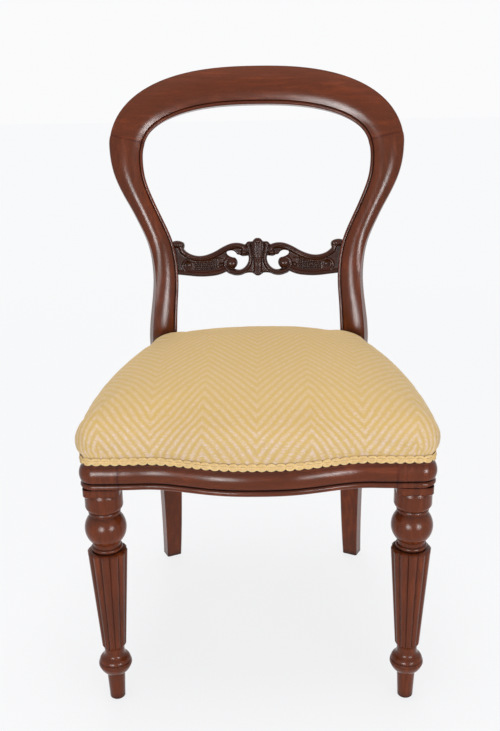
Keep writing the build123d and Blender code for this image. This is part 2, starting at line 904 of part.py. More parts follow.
def crosswise_straps():
    straps = []
    for k in range(3):
        y = 82.0 + 94.0 * k
        edge = min(side_line(y - webbing_width / 2), side_line(y + webbing_width / 2))
        end = edge - rebate_depth - webbing_end_gap
        low, high = y - webbing_width / 2, y + webbing_width / 2
        straps.append(box_between((-end, low, side_rail_top), (end, high, webbing_top)))
    return straps


def tack_places(straps, across_x):
    """Two tacks at each end of each strap, on the tops of the rails."""
    places = []
    inset, spread = 6.0, webbing_width / 4
    for strap in straps:
        box = strap.bounding_box()
        top = box.max.Z
        if across_x:
            middle = (box.min.Y + box.max.Y) / 2
            ends = (box.min.X + inset, box.max.X - inset)
            places += [(x, middle + d, top) for x in ends for d in (-spread, spread)]
        else:
            middle = (box.min.X + box.max.X) / 2
            ends = (box.min.Y + inset, box.max.Y - inset)
            places += [(middle + d, y, top) for y in ends for d in (-spread, spread)]
    return places


# ---------------------------------------------------------------- fasteners


class Holes:
    """Rods that stand for dowels, screws or tacks, with the holes that hold them."""

    def __init__(self):
        self.rods = []
        self.holes = []

    def dowel(self, face_point, direction, radius, length):
        """Half of its length on each side of the joint's face."""
        direction = Vector(*direction).normalized()
        start = Vector(*face_point) - direction * (length / 2)
        self.rods.append(rod(start, direction, radius, length))
        hole_start = start - direction * end_gap
        self.holes.append(rod(hole_start, direction, radius + fit_gap, length + 2 * end_gap))

    def screw(self, head_point, direction):
        direction = Vector(*direction).normalized()
        base = Vector(*head_point) + direction * 0.2
        head = Solid.make_cone(
            screw_head_radius, screw_radius, screw_head_height, Plane(base, z_dir=direction)
        )
        shank = rod(base, direction, screw_radius, screw_length)
        self.rods.append(head + shank)
        wide = screw_head_radius + 2 * fit_gap
        narrow = screw_radius + 2 * fit_gap
        sink = Solid.make_cone(wide, narrow, screw_head_height, Plane(base, z_dir=direction))
        mouth = rod(base, direction * -1, wide, 1)
        bore = rod(base, direction, screw_radius + fit_gap, screw_length + end_gap)
        self.holes.append(sink + mouth + bore)

    def tack(self, point):
        top = Vector(*point)
        shank = rod(top, (0, 0, -1), tack_radius, tack_length)
        head = rod(top, (0, 0, 1), tack_head_radius, tack_head_thickness)
        self.rods.append(shank + head)
        depth = tack_length + end_gap
        self.holes.append(rod(top, (0, 0, -1), tack_radius + fit_gap, depth))

    def mirror_all(self):
        self.rods += [mirror(shape, Plane.YZ) for shape in list(self.rods)]
        self.holes += [mirror(shape, Plane.YZ) for shape in list(self.holes)]


def seat_dowels():
    group = Holes()
    heights = (rail_bottom + 14, rail_ledge - 6)
    for z in heights:
        y = (front_line(leg_x - block_half) + front_rail_back) / 2
        group.dowel((leg_x - block_half, y, z), (1, 0, 0), dowel_radius, dowel_length)
        x = seat_half_width - side_rail_thickness * 0.55
        group.dowel((x, block_half, z), (0, 1, 0), dowel_radius, dowel_length)
        face, along = rail_end(side_rail_thickness / 2)
        group.dowel(face + Vector(0, 0, z), along, dowel_radius, dowel_length)
        middle = back_rail_front() + back_rail_thickness / 2
        across = (block_centre.Y - middle + stile_block_width / 2 * sin(radians(stile_block_turn)))
        inner = block_point(-stile_block_width / 2, across, z + dowel_radius * 2)
        group.dowel(inner, (1, 0, 0), dowel_radius * 0.8, dowel_length * 0.6)
    group.mirror_all()
    return group


def crest_dowels():
    group = Holes()
    point = axis_point(crest_start)
    ahead = axis_point(crest_start + 0.01) - axis_point(crest_start - 0.01)
    along = ahead.normalized()
    turn = radians(axis_turn(crest_start))
    outward = along.cross(Vector(-sin(turn), -cos(turn), rake_slope)).normalized()
    front = outward.cross(along)
    centre = point - front * (section_depth(point.Z) / 2)
    centre = Vector(point.X, centre.Y, centre.Z)
    for across in (-12, 12):
        place = centre + outward * across
        group.dowel(place, along, dowel_radius, dowel_length)
    group.mirror_all()
    return group


def mid_rail_dowels(stile):
    group = Holes()
    for z in (mid_rail_height - 14, mid_rail_height + 10):
        y = mid_rail_front - mid_rail_sag * 0.7 + mid_rail_thickness / 2
        y += rake_slope * (z - mid_rail_height)
        middle, width, depth, turn = stile_station(z)
        x = middle - width / 2 * cos(radians(turn)) + 1
        group.dowel((x, y, z), (1, 0, 0), small_dowel_radius, small_dowel_length)
    group.mirror_all()
    return group


# ---------------------------------------------------------------- corner blocks


def front_corner_block():
    """Right-hand front block between the front rail, the leg and the side rail."""
    leg_inner = leg_x - block_half - block_gap
    leg_back = block_half + block_gap
    low_y = front_rail_back + block_gap
    far_y = leg_back + block_leg_length
    points = [
        (leg_inner - block_leg_length, low_y),
        (leg_inner, low_y),
        (leg_inner, leg_back),
        (side_line(leg_back) - side_rail_thickness - block_gap, leg_back),
        (side_line(far_y) - side_rail_thickness - 2 * block_gap, far_y),
        (side_line(far_y) - side_rail_thickness - 14, far_y),
        (leg_inner - block_leg_length, low_y + 14),
    ]
    return prism(points, block_low, block_low + block_height)


def rear_corner_block():
    """Right-hand rear block between the side rail, the stile and the back rail."""
    front_v = stile_block_depth / 2 + block_gap
    corner = block_point(-stile_block_width / 2 - block_gap, front_v)
    back_y = back_rail_front() - block_gap
    meet = corner - block_front * ((back_y - corner.Y) / -block_front.Y)
    near_y = stile_front_y() - block_leg_length
    near = Vector(side_line(near_y), near_y, 0)
    near -= side_normal(near_y) * (side_rail_thickness - 4)
    end = rail_end(side_rail_thickness - 4)[0] + block_front * block_gap
    points = [
        corner,
        meet,
        Vector(meet.X - block_leg_length, back_y),
        Vector(meet.X - block_leg_length, back_y - 14),
        near - side_normal(near_y) * 18,
        near,
        end,
    ]
    plan = [(point.X, point.Y) for point in points]
    block = prism(plan, block_low, block_low + block_height) - make_side_rail(block_gap)
    return max(block.solids(), key=lambda solid: solid.volume)


def block_screws():
    group = Holes()
    z = block_low + block_height / 2
    x = leg_x - block_half - block_leg_length + 13
    group.screw((x, front_rail_back + 14 + 8.5, z), (0, -1, 0))
    y = block_half + block_leg_length - 10
    inner = side_line(y) - side_rail_thickness
    group.screw((inner - 24, y, z), (1, 0, 0))
    group.mirror_all()
    return group


# ---------------------------------------------------------------- the chair


def left_and_right(name, shape, chair):
    chair["right_" + name] = shape
    chair["left_" + name] = mirror(shape, Plane.YZ)


def build_chair():
    chair = {}
    stile = make_stile()
    left_and_right("stile", stile, chair)
    chair["crest_rail"] = make_crest()
    chair["mid_rail"] = make_mid_rail([stile, mirror(stile, Plane.YZ)])
    chair["front_rail"] = make_front_rail()
    left_and_right("side_rail", make_side_rail(), chair)
    chair["back_rail"] = make_back_rail()
    left_and_right("front_leg", make_front_leg(), chair)
    left_and_right("front_corner_block", front_corner_block(), chair)
    left_and_right("rear_corner_block", rear_corner_block(), chair)

    chair["webbing_lengthwise"] = lengthwise_straps()
    chair["webbing_crosswise"] = crosswise_straps()
    chair["base_hessian"] = make_hessian()
    chair["seat_pad"] = make_pad()
    chair["seat_cover"] = make_cover()
    front, back = sorted(make_gimp().solids(), key=lambda solid: solid.center().Y)
    chair["gimp_braid_front"] = front
    chair["gimp_braid_back"] = back

    tacks = Holes()
    for place in tack_places(lengthwise_straps(), False):
        tacks.tack(place)
    for place in tack_places(crosswise_straps(), True):
        tacks.tack(place)

    fasteners = {
        "seat_rail_dowels": seat_dowels(),
        "crest_dowels": crest_dowels(),
        "mid_rail_dowels": mid_rail_dowels(stile),
        "corner_block_screws": block_screws(),
        "webbing_tacks": tacks,
    }
    bored = {
        "seat_rail_dowels": ("stile", "side_rail", "front_leg", "front_rail", "back_rail"),
        "crest_dowels": ("stile", "crest_rail"),
        "mid_rail_dowels": ("stile", "mid_rail"),
        "corner_block_screws": ("front_corner_block", "side_rail", "front_rail"),
        "webbing_tacks": ("webbing", "side_rail", "front_rail", "back_rail"),
    }
    for name, group in fasteners.items():
        for node in list(chair):
            if any(word in node for word in bored[name]):
                chair[node] = bore(chair[node], group.holes)
        chair[name] = group.rods
    return chair


def bore(shape, holes):
    """Cuts each hole out of the solids that it reaches."""
    if isinstance(shape, list):
        return [bore(piece, holes) for piece in shape]
    box = shape.bounding_box()
    for hole in holes:
        other = hole.bounding_box()
        apart = (
            other.max.X < box.min.X or other.min.X > box.max.X
            or other.max.Y < box.min.Y or other.min.Y > box.max.Y
            or other.max.Z < box.min.Z or other.min.Z > box.max.Z
        )
        if not apart:
            shape = shape - hole
    return shape


def write_chair():
    chair = build_chair()
    nodes = {}
    for name, shape in chair.items():
        pieces = shape if isinstance(shape, list) else [shape]
        solids = [solid for piece in pieces for solid in solids_of(piece)]
        nodes[name] = Compound(solids) if len(solids) > 1 else solids[0]
    whole = Compound(list(nodes.values())).bounding_box()
    shift = Vector(
        -(whole.min.X + whole.max.X) / 2, -(whole.min.Y + whole.max.Y) / 2, -whole.min.Z
    )
    print("shift", shift, "size", whole.size)
    for name, node in nodes.items():
        export_step(Pos(*shift) * node, "parts/" + name + ".step")


write_chair()
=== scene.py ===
import math

import bmesh
import bpy
import numpy as np
from mathutils import Matrix, Vector


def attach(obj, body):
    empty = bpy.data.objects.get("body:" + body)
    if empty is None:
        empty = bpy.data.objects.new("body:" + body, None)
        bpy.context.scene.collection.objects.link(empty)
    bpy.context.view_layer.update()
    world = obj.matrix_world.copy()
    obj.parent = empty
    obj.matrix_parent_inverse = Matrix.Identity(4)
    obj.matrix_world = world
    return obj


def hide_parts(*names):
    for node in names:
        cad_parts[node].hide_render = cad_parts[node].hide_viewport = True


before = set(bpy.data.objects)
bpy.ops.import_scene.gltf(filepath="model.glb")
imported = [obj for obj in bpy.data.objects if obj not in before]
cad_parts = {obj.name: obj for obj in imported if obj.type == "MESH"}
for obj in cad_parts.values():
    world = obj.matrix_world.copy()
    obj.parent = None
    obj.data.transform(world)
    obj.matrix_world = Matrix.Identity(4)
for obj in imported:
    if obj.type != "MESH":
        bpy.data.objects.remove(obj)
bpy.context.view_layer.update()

print("frame loaded,", len(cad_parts), "nodes")

# Plan of the chair in millimetres, with y = 0 on the line through the front legs
plan = {
    "yShift": 216.28,  # what the frame's origin lies behind that line
    "legX": 215.0, "blockHalf": 25.5,
    "frontBase": 27.0, "frontBow": 24.0, "bowHalf": 150.0, "bowPower": 1.3, "frontFlare": 1.5,
    "sideHalf": 245.0, "rearHalf": 181.5, "sideEnd": 352.0, "sidePower": 1.8,
    "cornerRadius": 22.0, "seatMiddle": 240.0, "coverBack": 392.5, "skirt": -4.95,
    "stileX": 162.4, "stileY": 371.37, "stileTurn": 21.0,
    "stileWidth": 42.0, "stileDepth": 29.0, "stileTop": 415.0, "stileFace": 357.8, "stileLean": 0.08,
}


def smoothStep(value, low, high):
    t = min(max((value - low) / (high - low), 0.0), 1.0)
    return t * t * (3 - 2 * t)


def inFrame(x, y, z):
    return Vector((x, y - plan["yShift"], z)) / 1000


def frontLine(x):
    across = abs(x)
    bow = 0.0
    if across < plan["bowHalf"]:
        bow = math.cos(math.pi / 2 * (across / plan["bowHalf"]) ** plan["bowPower"]) ** 2
    flare = smoothStep(across, plan["bowHalf"], plan["legX"] - plan["blockHalf"])
    return -plan["frontBase"] - plan["frontBow"] * bow - plan["frontFlare"] * flare


def sideLine(y):
    along = max(y - plan["blockHalf"], 0) / (plan["sideEnd"] - plan["blockHalf"])
    drop = plan["sideHalf"] - plan["rearHalf"]
    return plan["sideHalf"] - drop * along ** plan["sidePower"]


# Closed line round the seat, moved out by the offset and drawn in towards the middle
def seatRing(offset, scale=1.0, bow=0.02, inset=0.0):
    frontSteps, turnSteps, sideSteps, cornerSteps, rearSteps = 40, 10, 30, 5, 20
    middle = plan["seatMiddle"]
    rearY = plan["coverBack"] + min(offset - plan["skirt"], 3.0) - inset
    offset -= inset
    radius = plan["cornerRadius"] + offset
    turnX = plan["sideHalf"] - plan["cornerRadius"]
    frontY = frontLine(plan["legX"])
    turnY = frontY + plan["cornerRadius"]
    half = []
    for k in range(frontSteps + 1):
        x = turnX * k / frontSteps
        y = frontY if x > plan["legX"] - plan["blockHalf"] else frontLine(x)
        half.append((x, y - offset))
    for k in range(1, turnSteps):
        a = math.pi / 2 * k / turnSteps
        half.append((turnX + radius * math.sin(a), turnY - radius * math.cos(a)))
    endY = plan["stileFace"] - 6
    for k in range(sideSteps + 1):
        y = turnY + (endY - turnY) * k / sideSteps
        slope = (sideLine(y + 0.5) - sideLine(y - 0.5)) if y > plan["blockHalf"] else 0.0
        length = math.hypot(1, slope)
        half.append((sideLine(y) + offset / length, y - offset * slope / length))
    half = [(x * scale, middle + (y - middle) * scale) for x, y in half]
    lastX, lastY = half[-1]
    rearEnd = middle + (rearY - middle) * scale
    cornerY = rearEnd - bow * (rearEnd - lastY)
    cornerX = lastX - 0.45 * (cornerY - lastY)
    for k in range(1, cornerSteps):
        share = k / cornerSteps
        half.append((lastX + (cornerX - lastX) * share, lastY + (cornerY - lastY) * share))
    for k in range(rearSteps + 1):
        share = 1 - k / rearSteps
        half.append((cornerX * share, rearEnd - (rearEnd - cornerY) * share**2))
    return half + [(-x, y) for x, y in reversed(half[1:-1])]


# Place of a point beside the right-hand stile: across it and in front of its middle
def besideStile(x, y, z):
    turn = math.radians(plan["stileTurn"])
    dx = x - plan["stileX"]
    dy = y - plan["stileY"] - plan["stileLean"] * np.maximum(z - plan["stileTop"], 0)
    return dx * math.cos(turn) - dy * math.sin(turn), -dx * math.sin(turn) - dy * math.cos(turn)


def fromStile(across, ahead, z):
    turn = math.radians(plan["stileTurn"])
    x = plan["stileX"] + across * math.cos(turn) - ahead * math.sin(turn)
    y = plan["stileY"] - across * math.sin(turn) - ahead * math.cos(turn)
    return x, y + plan["stileLean"] * np.maximum(z - plan["stileTop"], 0)


# Inner side and front of the stile, a gap away from it
def stileLimits(gap):
    return -plan["stileWidth"] / 2 - gap, plan["stileDepth"] / 2 + gap


def addObject(name, data):
    made = bpy.data.objects.new(name, data)
    bpy.context.collection.objects.link(made)
    return made


def shadeFaces(mesh, smooth=True):
    mesh.polygons.foreach_set("use_smooth", [smooth] * len(mesh.polygons))
    mesh.update()


def addMesh(name, points, faces, smooth=True):
    mesh = bpy.data.meshes.new(name)
    mesh.from_pydata([tuple(p) for p in points], [], faces)
    shadeFaces(mesh, smooth)
    return addObject(name, mesh)


# Bakes the modifiers of a piece into its mesh
def settle(piece):
    graph = bpy.context.evaluated_depsgraph_get()
    graph.update()
    mesh = bpy.data.meshes.new_from_object(piece.evaluated_get(graph))
    piece.modifiers.clear()
    piece.data = mesh


def remeshPiece(piece, voxel):
    remesh = piece.modifiers.new("remesh", "REMESH")
    remesh.mode, remesh.voxel_size = "VOXEL", voxel
    settle(piece)


def smoothSkin(piece, rounds, factor):
    soften = piece.modifiers.new("soften", "SMOOTH")
    soften.iterations, soften.factor = rounds, factor
    settle(piece)


def dress(piece, material):
    piece.data.materials.clear()
    piece.data.materials.append(material)


def readPoints(mesh, kind="co"):
    found = np.empty(len(mesh.vertices) * 3)
    mesh.vertices.foreach_get(kind, found)
    return found.reshape(-1, 3)


def writePoints(mesh, points):
    mesh.vertices.foreach_set("co", np.ascontiguousarray(points).ravel())
    mesh.update()


# Turns all faces outwards, after joining points that lie nearer than the weld
def cleanMesh(mesh, weld=0.0):
    body = bmesh.new()
    body.from_mesh(mesh)
    if weld:
        bmesh.ops.remove_doubles(body, verts=body.verts, dist=weld)
    bmesh.ops.recalc_face_normals(body, faces=body.faces)
    body.to_mesh(mesh)
    body.free()


# Skin of closed rings with the same number of points
def ringMesh(rings, capped=True):
    count = len(rings[0])
    points = [tuple(p) for ring in rings for p in ring]
    faces = []
    for r in range(len(rings) - 1):
        for k in range(count):
            a, b = r * count + k, r * count + (k + 1) % count
            faces.append((a, b, b + count, a + count))
    if capped:
        last = len(points) - count
        faces += [tuple(reversed(range(count))), tuple(range(last, last + count))]
    return points, faces


# Smooth curve between the second and the third of four values
def curveBetween(a, b, c, d, f):
    return 0.5 * (2 * b + (c - a) * f + (2 * a - 5 * b + 4 * c - d) * f * f
                  + (3 * b - a - 3 * c + d) * f**3)


# Round cord along a line of points, its frame kept from twisting
def cordMesh(line, radius, sides=6):
    line = np.asarray(line)
    ahead = np.gradient(line, axis=0)
    ahead /= np.linalg.norm(ahead, axis=1)[:, None]
    up = np.array([0.0, 0.0, 1.0])
    side = np.cross(ahead, up)
    side /= np.maximum(np.linalg.norm(side, axis=1), 1e-6)[:, None]
    top = np.cross(side, ahead)
    rings = []
    for k in range(sides):
        a = 2 * math.pi * k / sides
        rings.append(line + radius * (math.cos(a) * side + math.sin(a) * top))
    points = np.stack(rings, axis=1).reshape(-1, 3)
    faces = []
    for r in range(len(line) - 1):
        for k in range(sides):
            a, b = r * sides + k, r * sides + (k + 1) % sides
            faces.append((a, a + sides, b + sides, b))
    last = (len(line) - 1) * sides
    faces.append(tuple(range(sides)))
    faces.append(tuple(last + k for k in reversed(range(sides))))
    return points.tolist(), faces


def joinParts(parts):
    points, faces = [], []
    for somePoints, someFaces in parts:
        start = len(points)
        points += somePoints
        faces += [tuple(start + k for k in face) for face in someFaces]
    return points, faces


# Tools that cut the stiles' places out of a seat layer
def stileTools(gap):
    across, ahead = stileLimits(gap)
    low, high, far = 300, 600, 300
    tools = []
    for side in (1, -1):
        rings = []
        for z in (low, plan["stileTop"], high):
            ring = []
            for u, v in ((across, ahead), (far, ahead), (far, -far), (across, -far)):
                x, y = fromStile(u, v, z)
                ring.append(inFrame(x * side, y, z))
            rings.append(ring)
        tool = addMesh("stileTool", *ringMesh(rings), smooth=False)
        cleanMesh(tool.data)
        tools.append(tool)
    return tools


def cutForStiles(piece, gap):
    tools = stileTools(gap)
    for tool in tools:
        cut = piece.modifiers.new("stileCut", "BOOLEAN")
        cut.operation, cut.solver, cut.object = "DIFFERENCE", "EXACT", tool
    settle(piece)
    for tool in tools:
        bpy.data.objects.remove(tool)


# A value or colour that changes over a surface, so that finishes can be written as sums
class Field:
    def __init__(self, tree, socket):
        self.tree, self.socket = tree, socket

    def apply(self, operation, *others):
        return doMath(self.tree, operation, self, *others)

    def __add__(self, other):
        return self.apply("ADD", other)

    def __sub__(self, other):
        return self.apply("SUBTRACT", other)

    def __rsub__(self, other):
        return doMath(self.tree, "SUBTRACT", other, self)

    def __mul__(self, other):
        return self.apply("MULTIPLY", other)

    def __truediv__(self, other):
        return self.apply("DIVIDE", other)

    def __rtruediv__(self, other):
        return doMath(self.tree, "DIVIDE", other, self)

    def __abs__(self):
        return self.apply("ABSOLUTE")


def setInputs(node, inputs):
    for name, value in inputs.items():
        if isinstance(value, Field):
            value.tree.links.new(value.socket, node.inputs[name])
        else:
            node.inputs[name].default_value = value


def addNode(tree, kind, inputs=None, settings=None):
    made = tree.nodes.new(kind)
    for name, value in (settings or {}).items():
        setattr(made, name, value)
    setInputs(made, inputs or {})
    return made


def addField(tree, kind, inputs, settings=None, output=0):
    return Field(tree, addNode(tree, kind, inputs, settings).outputs[output])


def outputsOf(tree, node):
    return {socket.name: Field(tree, socket) for socket in node.outputs}


def doMath(tree, operation, *values):
    return addField(tree, "ShaderNodeMath", dict(enumerate(values)), {"operation": operation})


def mixColours(factor, first, second, blend="MIX"):
    pair = [(*colour, 1.0) if isinstance(colour, tuple) else colour for colour in (first, second)]
    return addField(factor.tree, "ShaderNodeMix", {0: factor, 6: pair[0], 7: pair[1]},
                    {"data_type": "RGBA", "blend_type": blend}, 2)


def fromRange(value, low, high, start=0.0, end=1.0):
    return addField(value.tree, "ShaderNodeMapRange", {
        "Value": value, "From Min": low, "From Max": high, "To Min": start, "To Max": end})


def addNoise(place, scale, detail, roughness=0.5, distortion=0.0):
    return addField(place.tree, "ShaderNodeTexNoise", {
        "Vector": place, "Scale": scale, "Detail": detail, "Roughness": roughness,
        "Distortion": distortion})


# The three coordinates of a place
def splitPlace(place):
    node = addNode(place.tree, "ShaderNodeSeparateXYZ", {0: place})
    return [Field(place.tree, socket) for socket in node.outputs]


def newGroup(name, inputs, outputs):
    group = bpy.data.node_groups.new(name, "ShaderNodeTree")
    for label, kind, value in inputs:
        socket = group.interface.new_socket(name=label, in_out="INPUT", socket_type=kind)
        if value is not None:
            socket.default_value = value
    for label, kind in outputs:
        group.interface.new_socket(name=label, in_out="OUTPUT", socket_type=kind)
    given = outputsOf(group, group.nodes.new("NodeGroupInput"))
    return group, given, group.nodes.new("NodeGroupOutput")


# Grain of sawn timber: the stretch is small along the wood
def makeGrainGroup():
    group, given, out = newGroup(
        "timberGrain",
        [("Place", "NodeSocketVector", None), ("Stretch", "NodeSocketVector", (40.0, 40.0, 3.0)),
         ("Figure", "NodeSocketFloat", 0.5)],
        [("Shade", "NodeSocketFloat"), ("Pores", "NodeSocketFloat"), ("Cloud", "NodeSocketFloat")])
    scaled = addField(group, "ShaderNodeVectorMath", {0: given["Place"], 1: given["Stretch"]},
                      {"operation": "MULTIPLY"})
    bands = addNoise(scaled, 1.1, 3.0, 0.55, 1.2)
    streaks = addNoise(scaled, 5.5, 5.0, 0.62, 0.3)
    pores = addNoise(scaled, 34.0, 2.0)
    cloud = addNoise(given["Place"], 9.0, 2.0)
    shade = addField(group, "ShaderNodeMix", {
        0: given["Figure"], 2: fromRange(bands, 0.3, 0.7), 3: fromRange(streaks, 0.3, 0.7)})
    setInputs(out, {"Shade": shade, "Pores": fromRange(pores, 0.6, 0.72),
                    "Cloud": fromRange(cloud, 0.35, 0.65)})
    return group


# Painted shade in hollows, darker where a point is closed in, which on the wood also stands for dark polish
# and dust held there; and edges rubbed pale
def makeHollowGroup():
    group, given, out = newGroup(
        "hollowShadeAndEdges",
        [("Reach", "NodeSocketFloat", 0.01), ("Edge Reach", "NodeSocketFloat", 0.003)],
        [("HollowShade", "NodeSocketFloat"), ("Edge", "NodeSocketFloat")])
    outside = addField(group, "ShaderNodeAmbientOcclusion", {"Distance": given["Reach"]},
                       {"samples": 6}, "AO")
    inside = addField(group, "ShaderNodeAmbientOcclusion", {"Distance": given["Edge Reach"]},
                      {"samples": 4, "inside": True}, "AO")
    setInputs(out, {"HollowShade": fromRange(outside, 0.25, 0.95, 1.0, 0.0),
                    "Edge": fromRange(inside, 0.45, 0.9)})
    return group


# Over-and-under threads of a plain weave, by place along two directions
def makeWeaveGroup():
    group, given, out = newGroup(
        "plainWeave",
        [("Along", "NodeSocketFloat", None), ("Across", "NodeSocketFloat", None),
         ("Pitch", "NodeSocketFloat", 0.001)],
        [("Height", "NodeSocketFloat")])
    turn = math.pi / given["Pitch"]
    warp = (given["Along"] * turn).apply("SINE")
    weft = (given["Across"] * turn).apply("SINE")
    setInputs(out, {"Height": 1.0 - abs(abs(warp) - abs(weft))})
    return group


groups = {"grain": makeGrainGroup(), "hollow": makeHollowGroup(), "weave": makeWeaveGroup()}


def placeGroup(tree, name, inputs):
    return outputsOf(tree, addNode(tree, "ShaderNodeGroup", inputs, {"node_tree": groups[name]}))


def newMaterial(name):
    material = bpy.data.materials.new(name)
    material.use_nodes = True
    tree = material.node_tree
    tree.nodes.clear()
    shader = tree.nodes.new("ShaderNodeBsdfPrincipled")
    out = tree.nodes.new("ShaderNodeOutputMaterial")
    tree.links.new(shader.outputs[0], out.inputs["Surface"])
    return material, shader, Field(tree, tree.nodes.new("ShaderNodeTexCoord").outputs["Object"])


def addBump(shader, height, strength, distance):
    bump = addField(height.tree, "ShaderNodeBump",
                    {"Strength": strength, "Distance": distance, "Height": height})
    setInputs(shader, {"Normal": bump})


polish = {
    "deep": (0.014, 0.0016, 0.0008), "middle": (0.064, 0.0072, 0.0018), "bright": (0.175, 0.03, 0.006),
    "places": (0.05, 0.52, 0.95),  # where the three lie on the grain's shade
    "cloud": (0.3, 0.2, 0.25), "cloudStrength": 0.55, "rubbed": (0.2, 0.05, 0.014), "rubStrength": 0.35,
    # colour and strength of the painted shade in hollows
    "hollowShadeColour": (0.005, 0.0018, 0.0015), "hollowShadeStrength": 0.92,
    "pore": (0.02, 0.007, 0.004), "poreStrength": 0.4, "poreDepth": 0.0002,
    "roughness": 0.14, "gloss": 0.21,
}


# Polished mahogany, with the grain along one direction of the chair; a tone below 1 darkens all its colours
# as painted shade
def makeMahogany(name, stretch, reach=0.012, shadeTone=1.0):
    material, shader, spot = newMaterial(name)
    tree = spot.tree

    def toned(colour):
        return tuple(c * shadeTone for c in polish[colour])

    grain = placeGroup(tree, "grain", {"Place": spot, "Stretch": stretch, "Figure": 0.55})
    hollow = placeGroup(tree, "hollow", {"Reach": reach, "Edge Reach": 0.0035})
    ramp = addNode(tree, "ShaderNodeValToRGB", {"Fac": grain["Shade"]})
    stops = ramp.color_ramp.elements
    stops[0].position, stops[1].position = polish["places"][0], polish["places"][2]
    stops.new(polish["places"][1])
    for stop, colour in zip(stops, ("deep", "middle", "bright")):
        stop.color = (*toned(colour), 1)
    clouded = mixColours(grain["Cloud"] * polish["cloudStrength"], Field(tree, ramp.outputs["Color"]),
                         polish["cloud"], "MULTIPLY")
    rubbed = mixColours(hollow["Edge"] * polish["rubStrength"], clouded, toned("rubbed"))
    # painted shade in the hollows, partly dark polish held there
    dark = mixColours(hollow["HollowShade"] * polish["hollowShadeStrength"], rubbed, polish["hollowShadeColour"])
    pored = mixColours(grain["Pores"] * polish["poreStrength"], dark, polish["pore"])
    dull = hollow["HollowShade"] * 0.25 + (grain["Shade"] * 0.07 + polish["roughness"])
    setInputs(shader, {"Base Color": pored, "Roughness": dull, "Specular IOR Level": polish["gloss"]})
    addBump(shader, grain["Pores"] * -1.0, 0.12, polish["poreDepth"])
    return material


plainWood = {
    "stretch": (9.0, 60.0, 60.0), "dark": (0.36, 0.2, 0.095), "light": (0.52, 0.33, 0.18),
    # the last colour darkens the beech's hollows as painted shade
    "fleck": (0.2, 0.1, 0.045), "grimeAndShade": (0.11, 0.06, 0.03), "roughness": 0.55,
}


# Plain beech of the parts under the seat
def makeBeech():
    material, shader, spot = newMaterial("beechBlocks")
    grain = placeGroup(spot.tree, "grain", {
        "Place": spot, "Stretch": plainWood["stretch"], "Figure": 0.6})
    hollow = placeGroup(spot.tree, "hollow", {"Reach": 0.02, "Edge Reach": 0.002})
    wood = mixColours(grain["Shade"], plainWood["dark"], plainWood["light"])
    flecked = mixColours(grain["Pores"] * 0.6, wood, plainWood["fleck"])
    # painted shade in the hollows of the blocks under the seat
    dark = mixColours(hollow["HollowShade"] * 0.55, flecked, plainWood["grimeAndShade"])
    setInputs(shader, {"Base Color": dark, "Roughness": grain["Cloud"] * 0.18 + plainWood["roughness"]})
    addBump(shader, grain["Shade"], 0.15, 0.0004)
    return material


def makeMetal(name, colour, roughness):
    material, shader, spot = newMaterial(name)
    grimeAndShade = addNoise(spot, 420.0, 3.0)
    setInputs(shader, {
        "Base Color": mixColours(grimeAndShade, tuple(c * 0.6 for c in colour), colour),
        "Roughness": fromRange(grimeAndShade, 0.3, 0.7, roughness, roughness + 0.2), "Metallic": 1.0})
    addBump(shader, grimeAndShade, 0.1, 0.0002)
    return material


woods = {
    "upright": makeMahogany("mahoganyUpright", (34.0, 34.0, 3.2)),
    "across": makeMahogany("mahoganyAcross", (3.2, 34.0, 34.0)),
    "sideways": makeMahogany("mahoganySide", (34.0, 3.2, 34.0)),
    # the carved rail's copy, its colours at 0.36, is painted shade over the whole rail
    "carved": makeMahogany("mahoganyCarvedShaded", (3.6, 34.0, 34.0), 0.0045, 0.36),
}
finishes = {
    "left_stile": woods["upright"], "right_stile": woods["upright"],
    "left_front_leg": woods["upright"], "right_front_leg": woods["upright"],
    "crest_rail": woods["across"], "front_rail": woods["across"],
    "back_rail": woods["across"], "mid_rail": woods["carved"],
    "left_side_rail": woods["sideways"], "right_side_rail": woods["sideways"],
}
beech = makeBeech()
screwSteel = makeMetal("screwSteel", (0.42, 0.4, 0.37), 0.35)
bluedSteel = makeMetal("bluedSteel", (0.07, 0.08, 0.11), 0.4)
for name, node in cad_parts.items():
    if "block" in name and "screws" not in name or "dowels" in name:
        finishes[name] = beech
    elif "screws" in name:
        finishes[name] = screwSteel
    elif "tacks" in name:
        finishes[name] = bluedSteel
for name, material in finishes.items():
    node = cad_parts[name]
    if not node.material_slots:
        node.data.materials.append(material)
    for slot in node.material_slots:
        slot.material = material
print("timber and metal finishes set")


seat = {
    "levels": [  # height, offset, scale, bow of the rear edge
        (390.45, -4.95, 1.0, 0.02), (403.6, -4.95, 1.0, 0.02), (405.6, -1.4, 1.0, 0.02),
        (408.95, 1.6, 1.0, 0.02), (413.95, 3.7, 1.0, 0.03), (420.95, 4.7, 1.0, 0.05),
        (428.95, 3.8, 1.0, 0.08), (439, 1.2, 0.995, 0.12), (444, 0, 0.985, 0.17), (450, 0, 0.96, 0.27),
        (455.5, 0, 0.915, 0.43), (461, 0, 0.835, 0.6), (466.5, 0, 0.7, 0.72),
        (471, 0, 0.48, 0.75), (473, 0, 0.2, 0.75)],
    "shrink": 0.6,  # what the pad starts smaller by, before it is blown up
    "voxel": 0.0045, "frames": 20, "cap": 0.022,
    "cloth": {
        "quality": 5, "mass": 0.35, "tension_stiffness": 22, "compression_stiffness": 22,
        "shear_stiffness": 8, "bending_stiffness": 1.2, "use_pressure": True,
        "uniform_pressure_force": 4.0, "vertex_group_mass": "tacked"},
    "swell": 0.5,  # share of the blown-up shape that is kept beyond the tacked form
    "gap": 1.0,  # between the cloth and the stiles
    "padBottom": 414.3, "hem": 1.3,
    "pleatHeight": 24.0, "pleatDepth": 2.6, "pleatWidth": 3.4,
}


